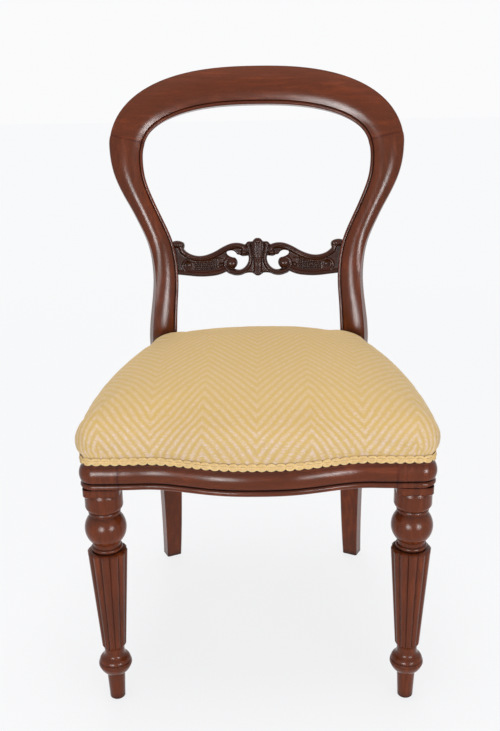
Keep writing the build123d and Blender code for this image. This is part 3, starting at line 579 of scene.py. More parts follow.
# Value of the seat's levels between two of them, on a smooth curve
def seatLevel(t):
    table = seat["levels"]
    k = min(int(t), len(table) - 2)
    f = t - k
    rows = [table[min(max(k + d, 0), len(table) - 1)] for d in (-1, 0, 1, 2)]
    if k == 0:  # the upright skirt stays straight
        return [b + (c - b) * f for b, c in zip(rows[1], rows[2])]
    return [curveBetween(*values, f) for values in zip(*rows)]


def makeSeatForm(shrink):
    rings = []
    steps, skirtSteps = 44, 5
    for n in range(steps + 1):
        z, offset, scale, bow = seatLevel((len(seat["levels"]) - 1) * n / steps)
        drawn = shrink if n > skirtSteps else 0.0
        ring = seatRing(offset, scale, min(max(bow, 0.02), 0.8), drawn)
        rings.append([inFrame(x, y, z - drawn) for x, y in ring])
    points, faces = ringMesh(rings, capped=False)
    count = len(rings[0])
    top = len(points)
    points.append(inFrame(0, plan["seatMiddle"], seat["levels"][-1][0] + 0.3 - shrink))
    last = top - count
    faces += [(last + k, last + (k + 1) % count, top) for k in range(count)]
    faces.append(tuple(reversed(range(count))))
    return addMesh("seatCushion", points, faces)


def blowUp(piece):
    start = readPoints(piece.data).copy()
    held = piece.vertex_groups.new(name="tacked")
    low = seat["levels"][1][0] / 1000 + 0.0008
    held.add([k for k, p in enumerate(start) if p[2] < low], 1.0, "REPLACE")
    cloth = piece.modifiers.new("cloth", "CLOTH")
    for name, value in seat["cloth"].items():
        setattr(cloth.settings, name, value)
    cloth.settings.effector_weights.gravity = 0
    cloth.collision_settings.use_collision = False
    cloth.point_cache.frame_end = seat["frames"]
    for step in range(1, seat["frames"] + 1):
        bpy.context.scene.frame_set(step)
    settle(piece)
    bpy.context.scene.frame_set(1)
    moved = readPoints(piece.data) - start
    length = np.linalg.norm(moved, axis=1)
    share = np.minimum(1.0, seat["cap"] / np.maximum(length, 1e-9)) * seat["swell"]
    print("seat blown up, most moved", round(float(length.max()) * 1000, 1), "mm")
    writePoints(piece.data, start + moved * share[:, None])
    piece.vertex_groups.clear()


def shapeCloth(piece):
    mesh = piece.data
    points = readPoints(mesh) * 1000
    points[:, 1] += plan["yShift"]
    normals = readPoints(mesh, "normal")
    x, y, z = points.T
    # folds at the two front corners, drawn in where the cloth is lapped over
    cornerX = plan["sideHalf"] - plan["cornerRadius"]
    cornerY = frontLine(plan["legX"]) + plan["cornerRadius"]
    angle = np.degrees(np.arctan2(np.abs(x) - cornerX, cornerY - y))
    away = np.hypot(np.abs(x) - cornerX, cornerY - y)
    near = (np.abs(x) > cornerX - 15) & (y < cornerY + 15)
    low = seat["levels"][1][0]
    rise = np.clip(1 - (z - low) / seat["pleatHeight"], 0, 1) ** 0.8 * (z > low - 2)
    line = 52 + 5 * np.clip((z - low) / 20, 0, 1)
    off = np.radians(angle - line) * away
    crease = -seat["pleatDepth"] * np.exp(-(off / seat["pleatWidth"]) ** 2 * 2.2)
    lap = 1.1 * np.exp(-((off + 5.5) / 4.0) ** 2)
    second = -0.9 * np.exp(-((off - 9) / 2.6) ** 2)
    fold = np.where(near, (crease + lap + second) * rise, 0)
    # faint pulls where the cloth is tacked behind the braid
    edgeway = np.where(np.abs(normals[:, 0]) > 0.6, y, x)
    pull = 0.28 * np.sin(edgeway / 5.4 + 1.3 * np.sin(edgeway / 31)) * np.clip(1 - (z - low) / 20, 0, 1)
    pull = pull * (z > low)
    hand = 0.5 * np.sin(x / 41 + 0.7) * np.sin(y / 53 + 0.4) * np.clip((z - 440) / 20, 0, 1)
    points += normals * (fold + pull + hand)[:, None]
    # clear of the stiles
    sideSign = np.where(points[:, 0] < 0, -1.0, 1.0)
    across, ahead = besideStile(points[:, 0] * sideSign, points[:, 1], points[:, 2])
    limitU, limitV = stileLimits(seat["gap"])
    inside = (across > limitU) & (ahead < limitV)
    nearU = (across - limitU) < (limitV - ahead)
    across = np.where(inside & nearU, limitU, across)
    ahead = np.where(inside & ~nearU, limitV, ahead)
    x, y = fromStile(across, ahead, points[:, 2])
    points[:, 0], points[:, 1] = x * sideSign, y - plan["yShift"]
    writePoints(mesh, points / 1000)


# Opens the underside and turns the cloth in over the rails, up to the pad's flat base
def openUnderside(piece):
    body = bmesh.new()
    body.from_mesh(piece.data)
    body.normal_update()
    bottom = seat["levels"][0][0] / 1000
    below = [f for f in body.faces
             if f.normal.z < -0.6 and f.calc_center_median().z < bottom + 0.0016]
    bmesh.ops.delete(body, geom=below, context="FACES")
    loose = [v for v in body.verts if not v.link_faces]
    bmesh.ops.delete(body, geom=loose, context="VERTS")
    rim = [e for e in body.edges if e.is_boundary]
    for vert in {v for e in rim for v in e.verts}:
        vert.co.z = bottom
    outward = {v: sum((f.normal for f in v.link_faces), Vector()) for e in rim for v in e.verts}
    rim, fresh = extrudeRim(body, rim)
    for vert in fresh:
        source = min(outward, key=lambda v: (v.co - vert.co).length_squared)
        out = outward[source]
        out.z = 0
        if out.length > 0:
            vert.co -= out.normalized() * seat["hem"] / 1000
    rim, fresh = extrudeRim(body, rim)
    for vert in fresh:
        vert.co.z = seat["padBottom"] / 1000
    bmesh.ops.contextual_create(body, geom=rim)
    bmesh.ops.recalc_face_normals(body, faces=body.faces)
    body.to_mesh(piece.data)
    body.free()


def extrudeRim(body, rim):
    made = bmesh.ops.extrude_edge_only(body, edges=rim)["geom"]
    return ([e for e in made if isinstance(e, bmesh.types.BMEdge)],
            [v for v in made if isinstance(v, bmesh.types.BMVert)])


def makeSeat():
    cushion = makeSeatForm(seat["shrink"])
    cutForStiles(cushion, seat["gap"] + 1.6)
    remeshPiece(cushion, seat["voxel"])
    print("seat remeshed,", len(cushion.data.vertices), "points")
    smoothSkin(cushion, 3, 0.5)
    blowUp(cushion)
    divide = cushion.modifiers.new("divide", "SUBSURF")
    divide.levels = divide.render_levels = 1
    settle(cushion)
    shadeFaces(cushion.data)
    shapeCloth(cushion)
    openUnderside(cushion)
    return cushion


chevron = {
    "halfPeriod": 0.072,  # between a valley and the next peak
    "pitch": 0.0192, "thread": 0.00115, "slope": 1.56,
    "edgeHeight": 0.452, "halfWidth": 0.24, "halfDepth": 0.27, "middle": 0.02,  # where the cloth turns down
    "corner": 14.0, "wander": 0.006, "ragged": 3.6,
    "gold": (0.525, 0.345, 0.082), "straw": (0.51, 0.33, 0.115), "weft": (0.54, 0.365, 0.09),
    # the shade colour is painted shade where threads dip; the fold colour is painted shade in the folds
    "cream": (0.61, 0.465, 0.37), "rose": (0.575, 0.41, 0.295), "shade": (0.36, 0.225, 0.075),
    "worn": (0.57, 0.385, 0.135), "wornFrom": 0.43, "wornTo": 0.47, "fold": (0.24, 0.14, 0.05),
    "sheen": (1.0, 0.9, 0.72, 1.0),
}


# Herringbone cloth: its chevrons run on down the sides as the real cloth does
def makeSeatCloth():
    material, shader, spot = newMaterial("herringboneCloth")
    x, y, z = splitPlace(spot)
    drop = (chevron["edgeHeight"] - z).apply("MAXIMUM", 0.0)
    ahead = (chevron["middle"] - y) / chevron["halfDepth"]
    towardX = abs(x / chevron["halfWidth"]).apply("POWER", chevron["corner"])
    towardY = abs(ahead).apply("POWER", chevron["corner"])
    total = towardX + towardY + 0.0001
    off = (addNoise(spot, 14.0, 2.0) - 0.5) * chevron["wander"]
    across = x + drop * (towardX / total * x.apply("SIGN")) + off
    along = y * -1.0 + drop * (towardY / total * ahead.apply("SIGN")) + off
    slanted = along + across.apply("PINGPONG", chevron["halfPeriod"]) * chevron["slope"]
    stripe = (slanted * (2 * math.pi / chevron["pitch"])).apply("SINE")
    ragged = (addNoise(spot, 430.0, 2.0, 0.7) - 0.5) * chevron["ragged"]
    pale = fromRange(stripe + ragged, -0.75, 0.95)
    mottle = addNoise(spot, 130.0, 2.0, 0.6)

    def threads(crossing, running, detail):  # short marks that follow the threads
        place = addField(spot.tree, "ShaderNodeCombineXYZ", {0: across * crossing, 1: along * running})
        return addNoise(place, 1.0, detail, 0.6)

    dash, slub = threads(170.0, 620.0, 1.5), threads(260.0, 900.0, 2.0)
    weave = placeGroup(spot.tree, "weave", {
        "Pitch": chevron["thread"], "Along": across + along, "Across": along - across})
    ground = mixColours(fromRange(mottle, 0.4, 0.6), chevron["straw"], chevron["gold"])
    bands = mixColours(fromRange(mottle, 0.4, 0.62), chevron["cream"], chevron["rose"])
    striped = mixColours(pale, ground, bands)
    threaded = mixColours(fromRange(dash, 0.48, 0.6, 0.0, 0.85), striped, chevron["weft"])
    # painted shade where the threads of the weave dip
    deep = mixColours(fromRange(weave["Height"], 0.2, 0.75, 0.28, 0.0), threaded, chevron["shade"])
    hollow = placeGroup(spot.tree, "hollow", {"Reach": 0.008, "Edge Reach": 0.002})
    worn = fromRange(z, chevron["wornFrom"], chevron["wornTo"], 0.0, 0.42)
    rubbed = mixColours(worn, deep, chevron["worn"])
    # the fold colour, laid on by the hollow group, is painted shade in the cloth's folds and hollows
    setInputs(shader, {
        "Base Color": mixColours(hollow["HollowShade"] * 0.4, rubbed, chevron["fold"]),
        "Roughness": fromRange(slub, 0.3, 0.7, 0.72, 0.9),
        "Sheen Weight": 0.25, "Sheen Roughness": 0.45, "Sheen Tint": chevron["sheen"]})
    addBump(shader, weave["Height"] + pale * 0.5 + slub * 0.6, 0.35, 0.0004)
    return material


cushion = makeSeat()
dress(cushion, makeSeatCloth())
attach(cushion, "root")
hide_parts("seat_cover", "seat_pad")
print("seat made")


braid = {
    "height": 396.5, "offset": -3.9, "pitch": 12.6, "step": 0.95,
    "cord": 0.78, "reaches": (4.8, 3.35, 1.95), "bulge": 0.55, "stileGap": 1.4,
    "colour": (0.72, 0.46, 0.13), "pale": (0.8, 0.58, 0.25), "dark": (0.3, 0.165, 0.035),
}


# The braid's line: in front round the seat from stile to stile, or behind between them
def braidLine(behind):
    limitU, limitV = stileLimits(braid["stileGap"])
    division = 8
    ring = seatRing(braid["offset"])
    fine = []
    for k, (x, y) in enumerate(ring):
        nextX, nextY = ring[(k + 1) % len(ring)]
        for n in range(division):
            share = n / division
            fine.append((x + (nextX - x) * share, y + (nextY - y) * share))
    kept = []
    for x, y in fine:
        across, ahead = besideStile(abs(x), y, 390)
        kept.append(not (across > limitU and ahead < limitV))
    isBehind = [y > plan["stileFace"] for x, y in fine]
    chosen = [p for p, k, b in zip(fine, kept, isBehind) if k and b == behind]
    # the list starts at the front's middle, so the front run is put in order
    if not behind:
        split = next(k for k in range(len(chosen) - 1)
                     if math.dist(chosen[k], chosen[k + 1]) > 30)
        chosen = chosen[split + 1:] + chosen[:split + 1]
    return evenly(chosen, braid["step"])


def evenly(line, step):
    line = np.asarray(line, dtype=float)
    gone = np.concatenate([[0], np.cumsum(np.linalg.norm(np.diff(line, axis=0), axis=1))])
    keep = np.concatenate([[True], np.diff(gone) > 1e-9])
    line, gone = line[keep], gone[keep]
    count = max(int(gone[-1] / step), 2)
    at = np.linspace(0, gone[-1], count + 1)
    return np.stack([np.interp(at, gone, line[:, k]) for k in range(2)], axis=1), at


def makeBraid(name, behind):
    line, gone = braidLine(behind)
    ahead = np.gradient(line, axis=0)
    ahead /= np.linalg.norm(ahead, axis=1)[:, None]
    out = np.stack([ahead[:, 1], -ahead[:, 0]], axis=1)
    repeats = round(gone[-1] / braid["pitch"])
    turn = gone / gone[-1] * repeats
    phase = turn - np.floor(turn)
    loop = np.sqrt(np.clip(1 - (2 * phase - 1) ** 2, 0, 1)) ** 0.85
    lift = np.sin(phase * math.pi)

    def run(rise, forward):
        away = line + out * forward[:, None]
        return np.column_stack([away[:, 0], away[:, 1] - plan["yShift"], braid["height"] + rise]) / 1000

    parts = []
    for k, reach in enumerate(braid["reaches"]):
        for way in (1, -1):
            forward = 0.55 + braid["bulge"] * lift * (1 - 0.3 * k) + 0.12 * k
            rise = way * (0.55 + loop * (reach - 0.3))
            parts.append(cordMesh(run(rise, forward), braid["cord"] / 1000))
    for k, level in enumerate((-0.55, 0.55)):
        wave = 0.25 * np.sin(turn * 2 * math.pi * 3 + k * math.pi)
        parts.append(cordMesh(run(level + wave, 1.25 + 0.2 * np.abs(np.sin(turn * 3 * math.pi))),
                              0.75 / 1000))
    # backing tape under the cords
    reach = braid["reaches"][0] - 0.4
    rows = []
    for rise, forward in ((-1, 0.0), (-1, 0.7), (1, 0.7), (1, 0.0)):
        rows.append(run(rise * (0.4 + loop * reach), np.full(len(line), forward)))
    parts.append(ringMesh(np.stack(rows, axis=1).tolist()))
    return addMesh(name, *joinParts(parts))


def makeBraidMaterial():
    material, shader, spot = newMaterial("braidThread")
    twist = addField(spot.tree, "ShaderNodeTexWave",
                     {"Vector": spot, "Scale": 330.0, "Distortion": 1.5, "Detail": 1.0},
                     {"wave_type": "BANDS", "bands_direction": "DIAGONAL"}, "Fac")
    fuzz = addNoise(spot, 300.0, 3.0)
    hollow = placeGroup(spot.tree, "hollow", {"Reach": 0.0025, "Edge Reach": 0.001})
    thread = mixColours(fromRange(fuzz, 0.35, 0.65), braid["colour"], braid["pale"])
    # dark bands along the twist are painted shade in the grooves between the plies
    twisted = mixColours(twist * 0.25, thread, braid["dark"])
    # the dark colour in hollows is painted shade between the cords
    setInputs(shader, {
        "Base Color": mixColours(hollow["HollowShade"] * 0.8, twisted, braid["dark"]),
        "Roughness": fromRange(fuzz, 0.3, 0.7, 0.55, 0.75), "Sheen Weight": 0.3})
    addBump(shader, twist, 0.3, 0.0003)
    return material


braidThread = makeBraidMaterial()
for name, behind, node in (("braidFront", False, "gimp_braid_front"), ("braidBack", True, "gimp_braid_back")):
    strip = makeBraid(name, behind)
    dress(strip, braidThread)
    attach(strip, "root")
    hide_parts(node)
print("braid made")


base = {
    "width": 50.0, "thickness": 1.6, "lowHeight": 409.2, "highHeight": 410.8,
    "lengthwise": (-92.0, 0.0, 92.0), "crosswise": (82.0, 176.0, 270.0),
    "endGap": 11.0, "rearEnd": 386.0,
    "weaveOver": 1.5,  # how far a strap rises or dips where it changes sides
    "crossingHalf": 34.0, "edge": 0.8, "step": 6.0,
    "hessianBottom": 412.3, "hessianThickness": 0.9, "hessianOffset": -9.0, "hessianGap": 3.2,
    "light": (0.5, 0.42, 0.29), "dark": (0.36, 0.29, 0.19), "stripe": (0.12, 0.09, 0.07), "thread": 0.0014,
    "hessianLight": (0.42, 0.3, 0.17), "hessianDark": (0.3, 0.21, 0.11), "hessianThread": 0.0016,
}


# A strap along one direction, which passes over and under those it crosses
def strapMesh(start, end, fixed, alongX, level, crossings, sign):
    steps = max(int(abs(end - start) / base["step"]), 4)
    half = base["width"] / 2
    flat = half - base["edge"]
    profile = [(-half, 0), (-flat, 0.5), (0, 0.5), (flat, 0.5),
               (half, 0), (flat, -0.5), (0, -0.5), (-flat, -0.5)]
    rings = []
    for n in range(steps + 1):
        s = start + (end - start) * n / steps
        lift = 0.0
        for k, c in enumerate(crossings):
            lift += sign * (-1) ** k * base["weaveOver"] * math.exp(-((s - c) / base["crossingHalf"]) ** 4)
        lift = max(lift, 0.0) if sign > 0 else min(lift, 0.0)
        ring = []
        for u, w in profile:
            x, y = (s, fixed + u) if alongX else (fixed + u, s)
            ring.append(inFrame(x, y, level + lift + w * base["thickness"]))
        rings.append(ring)
    return ringMesh(rings)


# The marks are the crossings at which a strap may change sides
def makeStraps():
    half, gap = base["width"] / 2, base["endGap"]
    along, cross = [], []
    for k, x in enumerate(base["lengthwise"]):
        edge = max(frontLine(x - half), frontLine(x + half)) + gap
        marks = base["crosswise"] if k % 2 == 0 else base["crosswise"][1:2]
        along.append(strapMesh(edge, base["rearEnd"], x, False, base["lowHeight"], marks, 1))
    for k, y in enumerate(base["crosswise"]):
        end = min(sideLine(y - half), sideLine(y + half)) - gap
        marks = base["lengthwise"][::2] if k % 2 == 0 else base["lengthwise"][1:2]
        cross.append(strapMesh(-end, end, y, True, base["highHeight"], marks, -1))
    return addMesh("webbingAlong", *joinParts(along)), addMesh("webbingAcross", *joinParts(cross))


# Plain woven cloth, for webbing with two dark lines beside the middle of each strap
def makeClothMaterial(name, light, dark, pitch, way=0, centres=()):
    material, shader, spot = newMaterial(name)
    parts = splitPlace(spot)
    weave = placeGroup(spot.tree, "weave", {"Pitch": pitch, "Along": parts[0], "Across": parts[1]})
    fuzz = addNoise(spot, 160.0, 3.0)
    thread = mixColours(fromRange(fuzz, 0.35, 0.65), dark, light)
    # painted shade where the threads of the weave dip
    deep = mixColours(fromRange(weave["Height"], 0.15, 0.7, 0.75, 0.0), thread, tuple(c * 0.25 for c in dark))
    mask = None
    for centre in centres:
        line = fromRange(abs(abs(parts[way] - centre) - 0.0165), 0.0014, 0.0022, 1.0, 0.0)
        mask = line if mask is None else mask.apply("MAXIMUM", line)
    if mask is not None:
        deep = mixColours(mask * 0.85, deep, base["stripe"])
    setInputs(shader, {"Base Color": deep, "Roughness": fromRange(fuzz, 0.3, 0.7, 0.8, 0.95)})
    addBump(shader, weave["Height"], 0.6, 0.0006)
    return material


def makeHessian():
    rings = []
    for z in (base["hessianBottom"], base["hessianBottom"] + base["hessianThickness"]):
        rings.append([inFrame(x, y, z) for x, y in seatRing(base["hessianOffset"])])
    sheet = addMesh("hessianBase", *ringMesh(rings), smooth=False)
    cutForStiles(sheet, base["hessianGap"])
    return sheet


webbingAlong, webbingAcross = makeStraps()
shift = plan["yShift"] / 1000
dress(webbingAlong, makeClothMaterial("webbingAlongCloth", base["light"], base["dark"], base["thread"],
                                      0, [x / 1000 for x in base["lengthwise"]]))
dress(webbingAcross, makeClothMaterial("webbingAcrossCloth", base["light"], base["dark"], base["thread"],
                                       1, [y / 1000 - shift for y in base["crosswise"]]))
hessian = makeHessian()
dress(hessian, makeClothMaterial("hessianCloth", base["hessianLight"], base["hessianDark"],
                                 base["hessianThread"]))
for piece, node, slot in ((webbingAlong, "webbing_lengthwise", "webbing"),
                          (webbingAcross, "webbing_crosswise", "webbing"),
                          (hessian, "base_hessian", "hessian")):
    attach(piece, "root")
    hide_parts(node)
print("webbing and base cloth made")


carving = {
    "height": 573.0, "front": 405.0, "rake": 11.7, "sag": 6.0, "sagHalf": 156.0,
    "thickness": 14.0, "voxel": 0.68, "frontRound": 3.0, "backRound": 2.2,
    "outline": [
        (0, -31), (6, -29), (9, -26.4), (17, -26.2), (22, -27.3), (33.5, -30.6), (46, -28.2),
        (51, -26), (53.5, -23.8), (66, -28.7), (80, -30.8), (93, -31.3), (106, -30.6),
        (122, -28.6), (146, -25.4), (147, 0), (146, 28), (132, 30), (124.8, 26.8),
        (123.3, 22.2), (124.9, 16.4), (120.5, 11.8), (113, 7.2), (103.4, 4.4), (88, 5.2),
        (77.2, 8.9), (66.5, 14.3), (56.5, 19.7), (48, 23.2), (36, 25), (23.5, 22.6), (22, 22.1),
        (20.6, 22.7), (18.2, 25.6), (12.5, 26.9), (8.8, 27.4), (7, 29.5), (4, 32), (0, 32.5)],
    "hole": [
        (52.8, 9.5), (48.7, 11.3), (43.7, 11.8), (39, 10), (36, 6.5), (33.5, 4.6), (30.5, 4.5),
        (27, 2.3), (22.5, 2), (19, 2.4), (16.2, 3), (15.6, -2), (16.9, -8), (20, -13.4),
        (25, -18), (31, -20.3), (36.8, -19.7), (38.8, -19.2), (40, -18.3), (36.3, -15),
        (34.2, -8.4), (35.6, -3.4), (39.7, 0.2), (44.7, 1.3), (49.9, 3.9), (52, 6)],
    "panel": [
        (62, -16), (70, -19.5), (84, -21.8), (100, -22), (118, -20.5), (122, -12), (120, -3),
        (111, -5.5), (100, -7), (88, -6), (76, -2.5), (66, 0.5), (58, -1), (57.5, -9)],
    "topBand": [(140, 24), (132, 23), (128.2, 18), (126.5, 12.5), (119.5, 7.2), (112, 3.2),
                (102.5, 0.3), (88, 0.9), (75.5, 4.6), (64.5, 10.1), (55, 15.3), (47, 18.7),
                (36, 20.5), (27.5, 19.3), (22.6, 15.4), (21.6, 10.2)],
    "bottomBand": [(57, -21.6), (66, -24.9), (80, -27.0), (93, -27.6), (106, -26.9),
                   (122, -24.9), (150, -21.3)],
    "scroll": [(52, -18.5), (47.5, -22.4), (40, -24.4), (33, -25.3), (26, -23.2), (19.6, -19.0),
               (14.8, -12.5), (12.6, -5), (12.4, 3), (13.4, 11), (15.0, 18), (16.4, 22.4)],
    "eye": (44.3, -9.0, 9.0), "lobe": (23.4, 8.6, 5.4), "ear": (129.5, 24.0, 7.0),
    "leaf": [(-32, 3.0), (-29, 5.6), (-24, 7.2), (-15, 6.6), (-5, 7.2), (8, 9.0), (18, 10.2),
             (26, 9.6), (29, 7.4), (33, 3.4)],
}


# Points along arcs, each through three of the given points
def arcPoints(points, steps=8):
    made = []
    count = len(points)
    for k in range(0, count, 2):
        (ax, ay), (bx, by), (cx, cy) = points[k], points[k + 1], points[(k + 2) % count]
        twice = 2 * (ax * (by - cy) + bx * (cy - ay) + cx * (ay - by))
        if abs(twice) < 1e-3:
            made += [(ax + (cx - ax) * n / steps, ay + (cy - ay) * n / steps) for n in range(steps)]
            continue
        a2, b2, c2 = ax * ax + ay * ay, bx * bx + by * by, cx * cx + cy * cy
        ox = (a2 * (by - cy) + b2 * (cy - ay) + c2 * (ay - by)) / twice
        oy = (a2 * (cx - bx) + b2 * (ax - cx) + c2 * (bx - ax)) / twice
        radius = math.hypot(ax - ox, ay - oy)
        start = math.atan2(ay - oy, ax - ox)
        end = math.atan2(cy - oy, cx - ox)
        if (bx - ax) * (cy - ay) - (by - ay) * (cx - ax) > 0:
            while end < start:
                end += 2 * math.pi
        else:
            while end > start:
                end -= 2 * math.pi
        for n in range(steps):
            a = start + (end - start) * n / steps
            made.append((ox + radius * math.cos(a), oy + radius * math.sin(a)))
    return made


def distanceTo(spots, line, closed=False):
    line = np.asarray(line, dtype=float)
    ends = np.roll(line, -1, axis=0) if closed else line[1:]
    starts = line if closed else line[:-1]
    best = np.full(len(spots), 1e9)
    for a, b in zip(starts, ends):
        way = b - a
        t = np.clip(((spots - a) @ way) / max(way @ way, 1e-9), 0, 1)
        best = np.minimum(best, np.linalg.norm(spots - (a + t[:, None] * way), axis=1))
    return best


def isInside(spots, line):
    line = np.asarray(line, dtype=float)
    found = np.zeros(len(spots), dtype=bool)
    x, y = spots.T
    for (ax, ay), (bx, by) in zip(line, np.roll(line, -1, axis=0)):
        crosses = (ay > y) != (by > y)
        at = (bx - ax) * (y - ay) / (by - ay if by != ay else 1e-9) + ax
        found ^= crosses & (x < at)
    return found


# Smooth line through a few points
def curvedLine(points, steps=6):
    points = np.asarray(points, dtype=float)
    padded = np.vstack([2 * points[0] - points[1], points, 2 * points[-1] - points[-2]])
    made = []
    for k in range(1, len(padded) - 2):
        made += [curveBetween(*padded[k - 1:k + 3], n / steps) for n in range(steps)]
    return np.array(made + [points[-1]])


# Relief of the rail's face over the places on it, in millimetres
def carveHeight(spots):
    x, s = np.abs(spots[:, 0]), spots[:, 1]
    half = np.column_stack([x, s])

    def rise(share, foot, height):
        return np.where(share < 1, foot + height * np.sqrt(np.clip(1 - share**2, 0, 1)), -9)

    def ridge(line, width, height, foot=-1.7):
        return rise(distanceTo(half, curvedLine(line)) / width, foot, height)

    def dome(place, height, foot=-1.7):
        return rise(np.hypot(x - place[0], s - place[1]) / place[2], foot, height)

    def hollow(px, ps, rx, rs, depth):
        r = np.hypot((x - px) / rx, (s - ps) / rs)
        return -depth * np.clip(1 - r**2, 0, 1)

    ground = np.full(len(spots), -1.6)
    panel = arcPoints(carving["panel"])
    inPanel = isInside(half, panel) * np.clip(distanceTo(half, panel, True) / 1.6, 0, 1)
    ground = ground - 1.5 * inPanel
    window = inPanel * np.clip((x - 66) / 3, 0, 1) * np.clip((109 - x) / 3, 0, 1)
    studs = 1.0
    for along, pitch in ((x, 3.9), (s, 3.5)):
        studs = studs * (0.5 + 0.5 * np.cos(2 * math.pi * along / pitch))
    ground = ground + window * (2.2 * studs**0.7 - 0.5)
    ground = ground + hollow(61.5, -12.5, 5.6, 4.4, 2.4) + hollow(116, -11.5, 5.0, 5.6, 2.2)
    raised = [
        ridge(carving["topBand"], 4.9, 4.4),
        ridge(carving["bottomBand"], 4.0, 3.7),
        ridge(carving["scroll"], 3.7, 4.2),
        ridge([(52.5, -18), (55.6, -13), (55.2, -6.5), (51.5, -1.5), (46.5, 1.2)], 2.6, 2.6),
        ridge([(118, -2), (124, -6), (127, -13), (123, -20.5)], 2.4, 2.4),
        dome(carving["eye"], 6.2),
        dome(carving["lobe"], 5.4),
        dome(carving["ear"], 5.4),
        dome((15.2, 24.2, 4.6), 4.2),
    ]
    # line cut along the lower side of the top band
    cut = curvedLine([(px + 0.6, ps - 1.9) for px, ps in carving["topBand"][4:13]])
    groove = -0.75 * np.exp(-((distanceTo(half, cut) / 0.7) ** 2))
    surface = np.maximum.reduce([ground] + raised)
    surface = surface + np.where(surface > 0.2, groove, 0)
    # fanned leaf in the middle
    table = np.array(carving["leaf"])
    reach = np.interp(s, table[:, 0], table[:, 1])
    t = np.clip(x / reach, 0, 1.2)
    swell = 3.4 * np.sqrt(np.clip(1 - t**2, 0, 1))
    upper = np.clip((s + 3) / 5, 0, 1)
    flutes = upper * 0.8 * np.cos(4 * math.pi * t) + (1 - upper) * 0.75 * np.cos(2.9 * math.pi * t)
    leafTop = swell + flutes * np.clip(1.1 - t, 0, 1) - 1.0 * np.exp(-((s + 3.5) / 3.0) ** 2)
    leafTop = leafTop + 0.8 * np.clip((s - 8) / 20, 0, 1) + 0.6 * np.clip((-14 - s) / 12, 0, 1)
    rosette = rise(np.hypot(x, s + 4.5) / 3.4, 0.0, 4.4)
    cap = rise(np.hypot(x * 0.85, s - 27.2) / 5.6, 0.0, 5.4)
    tip = rise(np.hypot(x, s + 27.6) / 4.4, 0.0, 4.2)
    leaf = np.where(x < reach, np.maximum.reduce([leafTop, rosette, cap, tip]), -9)
    return np.maximum(surface, leaf)


def makeCarvedRail():
    curve = bpy.data.curves.new("railOutline", "CURVE")
    curve.dimensions, curve.fill_mode = "2D", "BOTH"
    curve.extrude = carving["thickness"] / 2
    half = carving["outline"]
    outline = arcPoints(half + [(-x, s) for x, s in reversed(half[1:-1])])
    hole = arcPoints(carving["hole"])
    loops = [outline, hole, [(-x, s) for x, s in reversed(hole)]]
    for loop in loops:
        spline = curve.splines.new("POLY")
        spline.points.add(len(loop) - 1)
        for point, (x, s) in zip(spline.points, loop):
            point.co = (x, s, 0, 1)
        spline.use_cyclic_u = True
    shape = addObject("railShape", curve)
    graph = bpy.context.evaluated_depsgraph_get()
    mesh = bpy.data.meshes.new_from_object(shape.evaluated_get(graph))
    bpy.data.objects.remove(shape)
    cleanMesh(mesh, 0.001)
    piece = addObject("carvedCrossRail", mesh)
    remeshPiece(piece, carving["voxel"])
    points = readPoints(piece.data)
    print("cross rail blank,", len(points), "points")
    spots = points[:, :2]
    edge = np.minimum.reduce([distanceTo(spots, loop, True) for loop in loops])
    front = np.clip((points[:, 2] + 1) / 7, 0, 1)
    back = np.clip((-points[:, 2] - 1) / 6, 0, 1)

    def rounded(radius):
        return radius - np.sqrt(np.clip(radius**2 - np.clip(radius - edge, 0, radius) ** 2, 0, None))

    height = carveHeight(spots) - rounded(carving["frontRound"])
    depth = points[:, 2] + front * height + back * rounded(carving["backRound"])
    angle = math.radians(carving["rake"])
    outward = depth - carving["thickness"] / 2
    x, s = spots.T
    y = (carving["front"] + s * math.sin(angle) - carving["sag"] * (x / carving["sagHalf"]) ** 2
         - outward * math.cos(angle))
    z = carving["height"] + s * math.cos(angle) + outward * math.sin(angle)
    writePoints(piece.data, np.column_stack([x, y - plan["yShift"], z]) / 1000)
    smoothSkin(piece, 2, 0.45)
    shadeFaces(piece.data)
    return piece


carvedRail = makeCarvedRail()
dress(carvedRail, woods["carved"])
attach(carvedRail, "root")
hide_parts("mid_rail")
print("cross rail carved")


studio = {
    "floorSize": 16.0, "floorColour": (0.9, 0.903, 0.91),
    "blendNear": 0.6, "blendFar": 2.3, "blendLeast": 0.84,
    "floorGlow": (0.94, 0.945, 0.955), "wallGlow": (0.96, 0.962, 0.97), "surround": 0.42,
    "lamps": [
        ("leftLamp", (-0.64, -1.91, 0.62), 1.0, 11.0), ("rightLamp", (1.07, -1.69, 0.62), 1.0, 11.0),
        ("topLamp", (0.0, -0.1, 2.7), 1.6, 40.0), ("backLamp", (-0.4, 2.3, 1.5), 0.9, 11.0)],
    "gleams": [  # boxes that only show in the polish
        ("leftGleam", (-0.64, -1.91, 0.62), 0.56, 66.0), ("rightGleam", (1.07, -1.69, 0.62), 0.5, 52.0)],
    "target": (0.0, 0.0, 0.45),
}


# Rays that see the background, as against those that light the chair
def seenRays(tree):
    path = outputsOf(tree, tree.nodes.new("ShaderNodeLightPath"))
    through = path["Is Glossy Ray"].apply("MAXIMUM", path["Is Transmission Ray"])
    return path["Is Camera Ray"].apply("MAXIMUM", through)


def mixShaders(factor, first, second, out):
    mixed = addField(factor.tree, "ShaderNodeMixShader", {
        0: factor, 1: Field(factor.tree, first.outputs[0]), 2: Field(factor.tree, second.outputs[0])})
    setInputs(out, {"Surface": mixed})


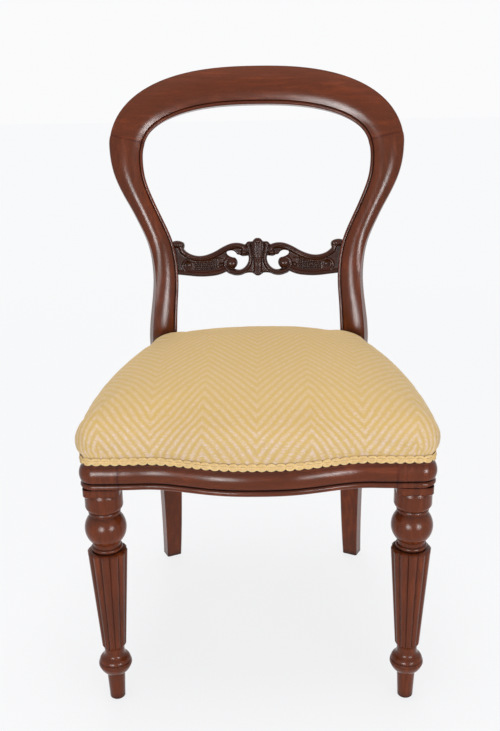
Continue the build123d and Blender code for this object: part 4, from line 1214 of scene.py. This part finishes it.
def makeFloor():
    half = studio["floorSize"] / 2
    floor = addMesh("floor", [(-half, -half, 0), (half, -half, 0), (half, half, 0), (-half, half, 0)],
                    [(0, 1, 2, 3)], smooth=False)
    material, shader, spot = newMaterial("floorPaint")
    setInputs(shader, {"Base Color": (*studio["floorColour"], 1), "Roughness": 0.65,
                       "Specular IOR Level": 0.2})
    far = addField(spot.tree, "ShaderNodeVectorMath", {0: spot}, {"operation": "LENGTH"}, "Value")
    fade = fromRange(far, studio["blendNear"], studio["blendFar"], studio["blendLeast"], 1.0)
    glow = addNode(spot.tree, "ShaderNodeEmission", {"Color": (*studio["floorGlow"], 1), "Strength": 1.0})
    mixShaders(fade * seenRays(spot.tree), shader, glow, spot.tree.nodes["Material Output"])
    dress(floor, material)


def makeWorld():
    world = bpy.data.worlds.new("studioWorld")
    bpy.context.scene.world = world
    world.use_nodes = True
    tree = world.node_tree
    tree.nodes.clear()
    soft = addNode(tree, "ShaderNodeBackground", {"Color": (1, 1, 1, 1), "Strength": studio["surround"]})
    white = addNode(tree, "ShaderNodeBackground", {"Color": (*studio["wallGlow"], 1), "Strength": 1.0})
    mixShaders(seenRays(tree), soft, white, tree.nodes.new("ShaderNodeOutputWorld"))


def makeLamps():
    for name, place, size, power in studio["lamps"] + studio["gleams"]:
        light = bpy.data.lights.new(name, "AREA")
        light.shape, light.size, light.energy = "SQUARE", size, power
        lamp = addObject(name, light)
        lamp.location = place
        lamp.visible_camera = False
        lamp.visible_diffuse = "Gleam" not in name
        lamp.visible_glossy = "Gleam" in name
        way = Vector(studio["target"]) - Vector(place)
        lamp.rotation_euler = way.to_track_quat("-Z", "Y").to_euler()


view = {"place": (0.0180, -1.46268, 0.9672), "pitch": 19.6, "pan": 1.19, "roll": -1.0, "lens": 49.2}


def makeCamera():
    data = bpy.data.cameras.new("photoCamera")
    data.lens, data.sensor_width, data.sensor_fit = view["lens"], 36.0, "AUTO"
    camera = addObject("photoCamera", data)
    turn = (Matrix.Rotation(math.radians(view["pan"]), 4, "Z")
            @ Matrix.Rotation(math.radians(90 - view["pitch"]), 4, "X")
            @ Matrix.Rotation(math.radians(view["roll"]), 4, "Z"))
    camera.matrix_world = Matrix.Translation(view["place"]) @ turn
    bpy.context.scene.camera = camera


makeFloor()
makeWorld()
makeLamps()
bpy.context.scene.view_settings.view_transform = "Standard"
makeCamera()
print("studio and camera set")
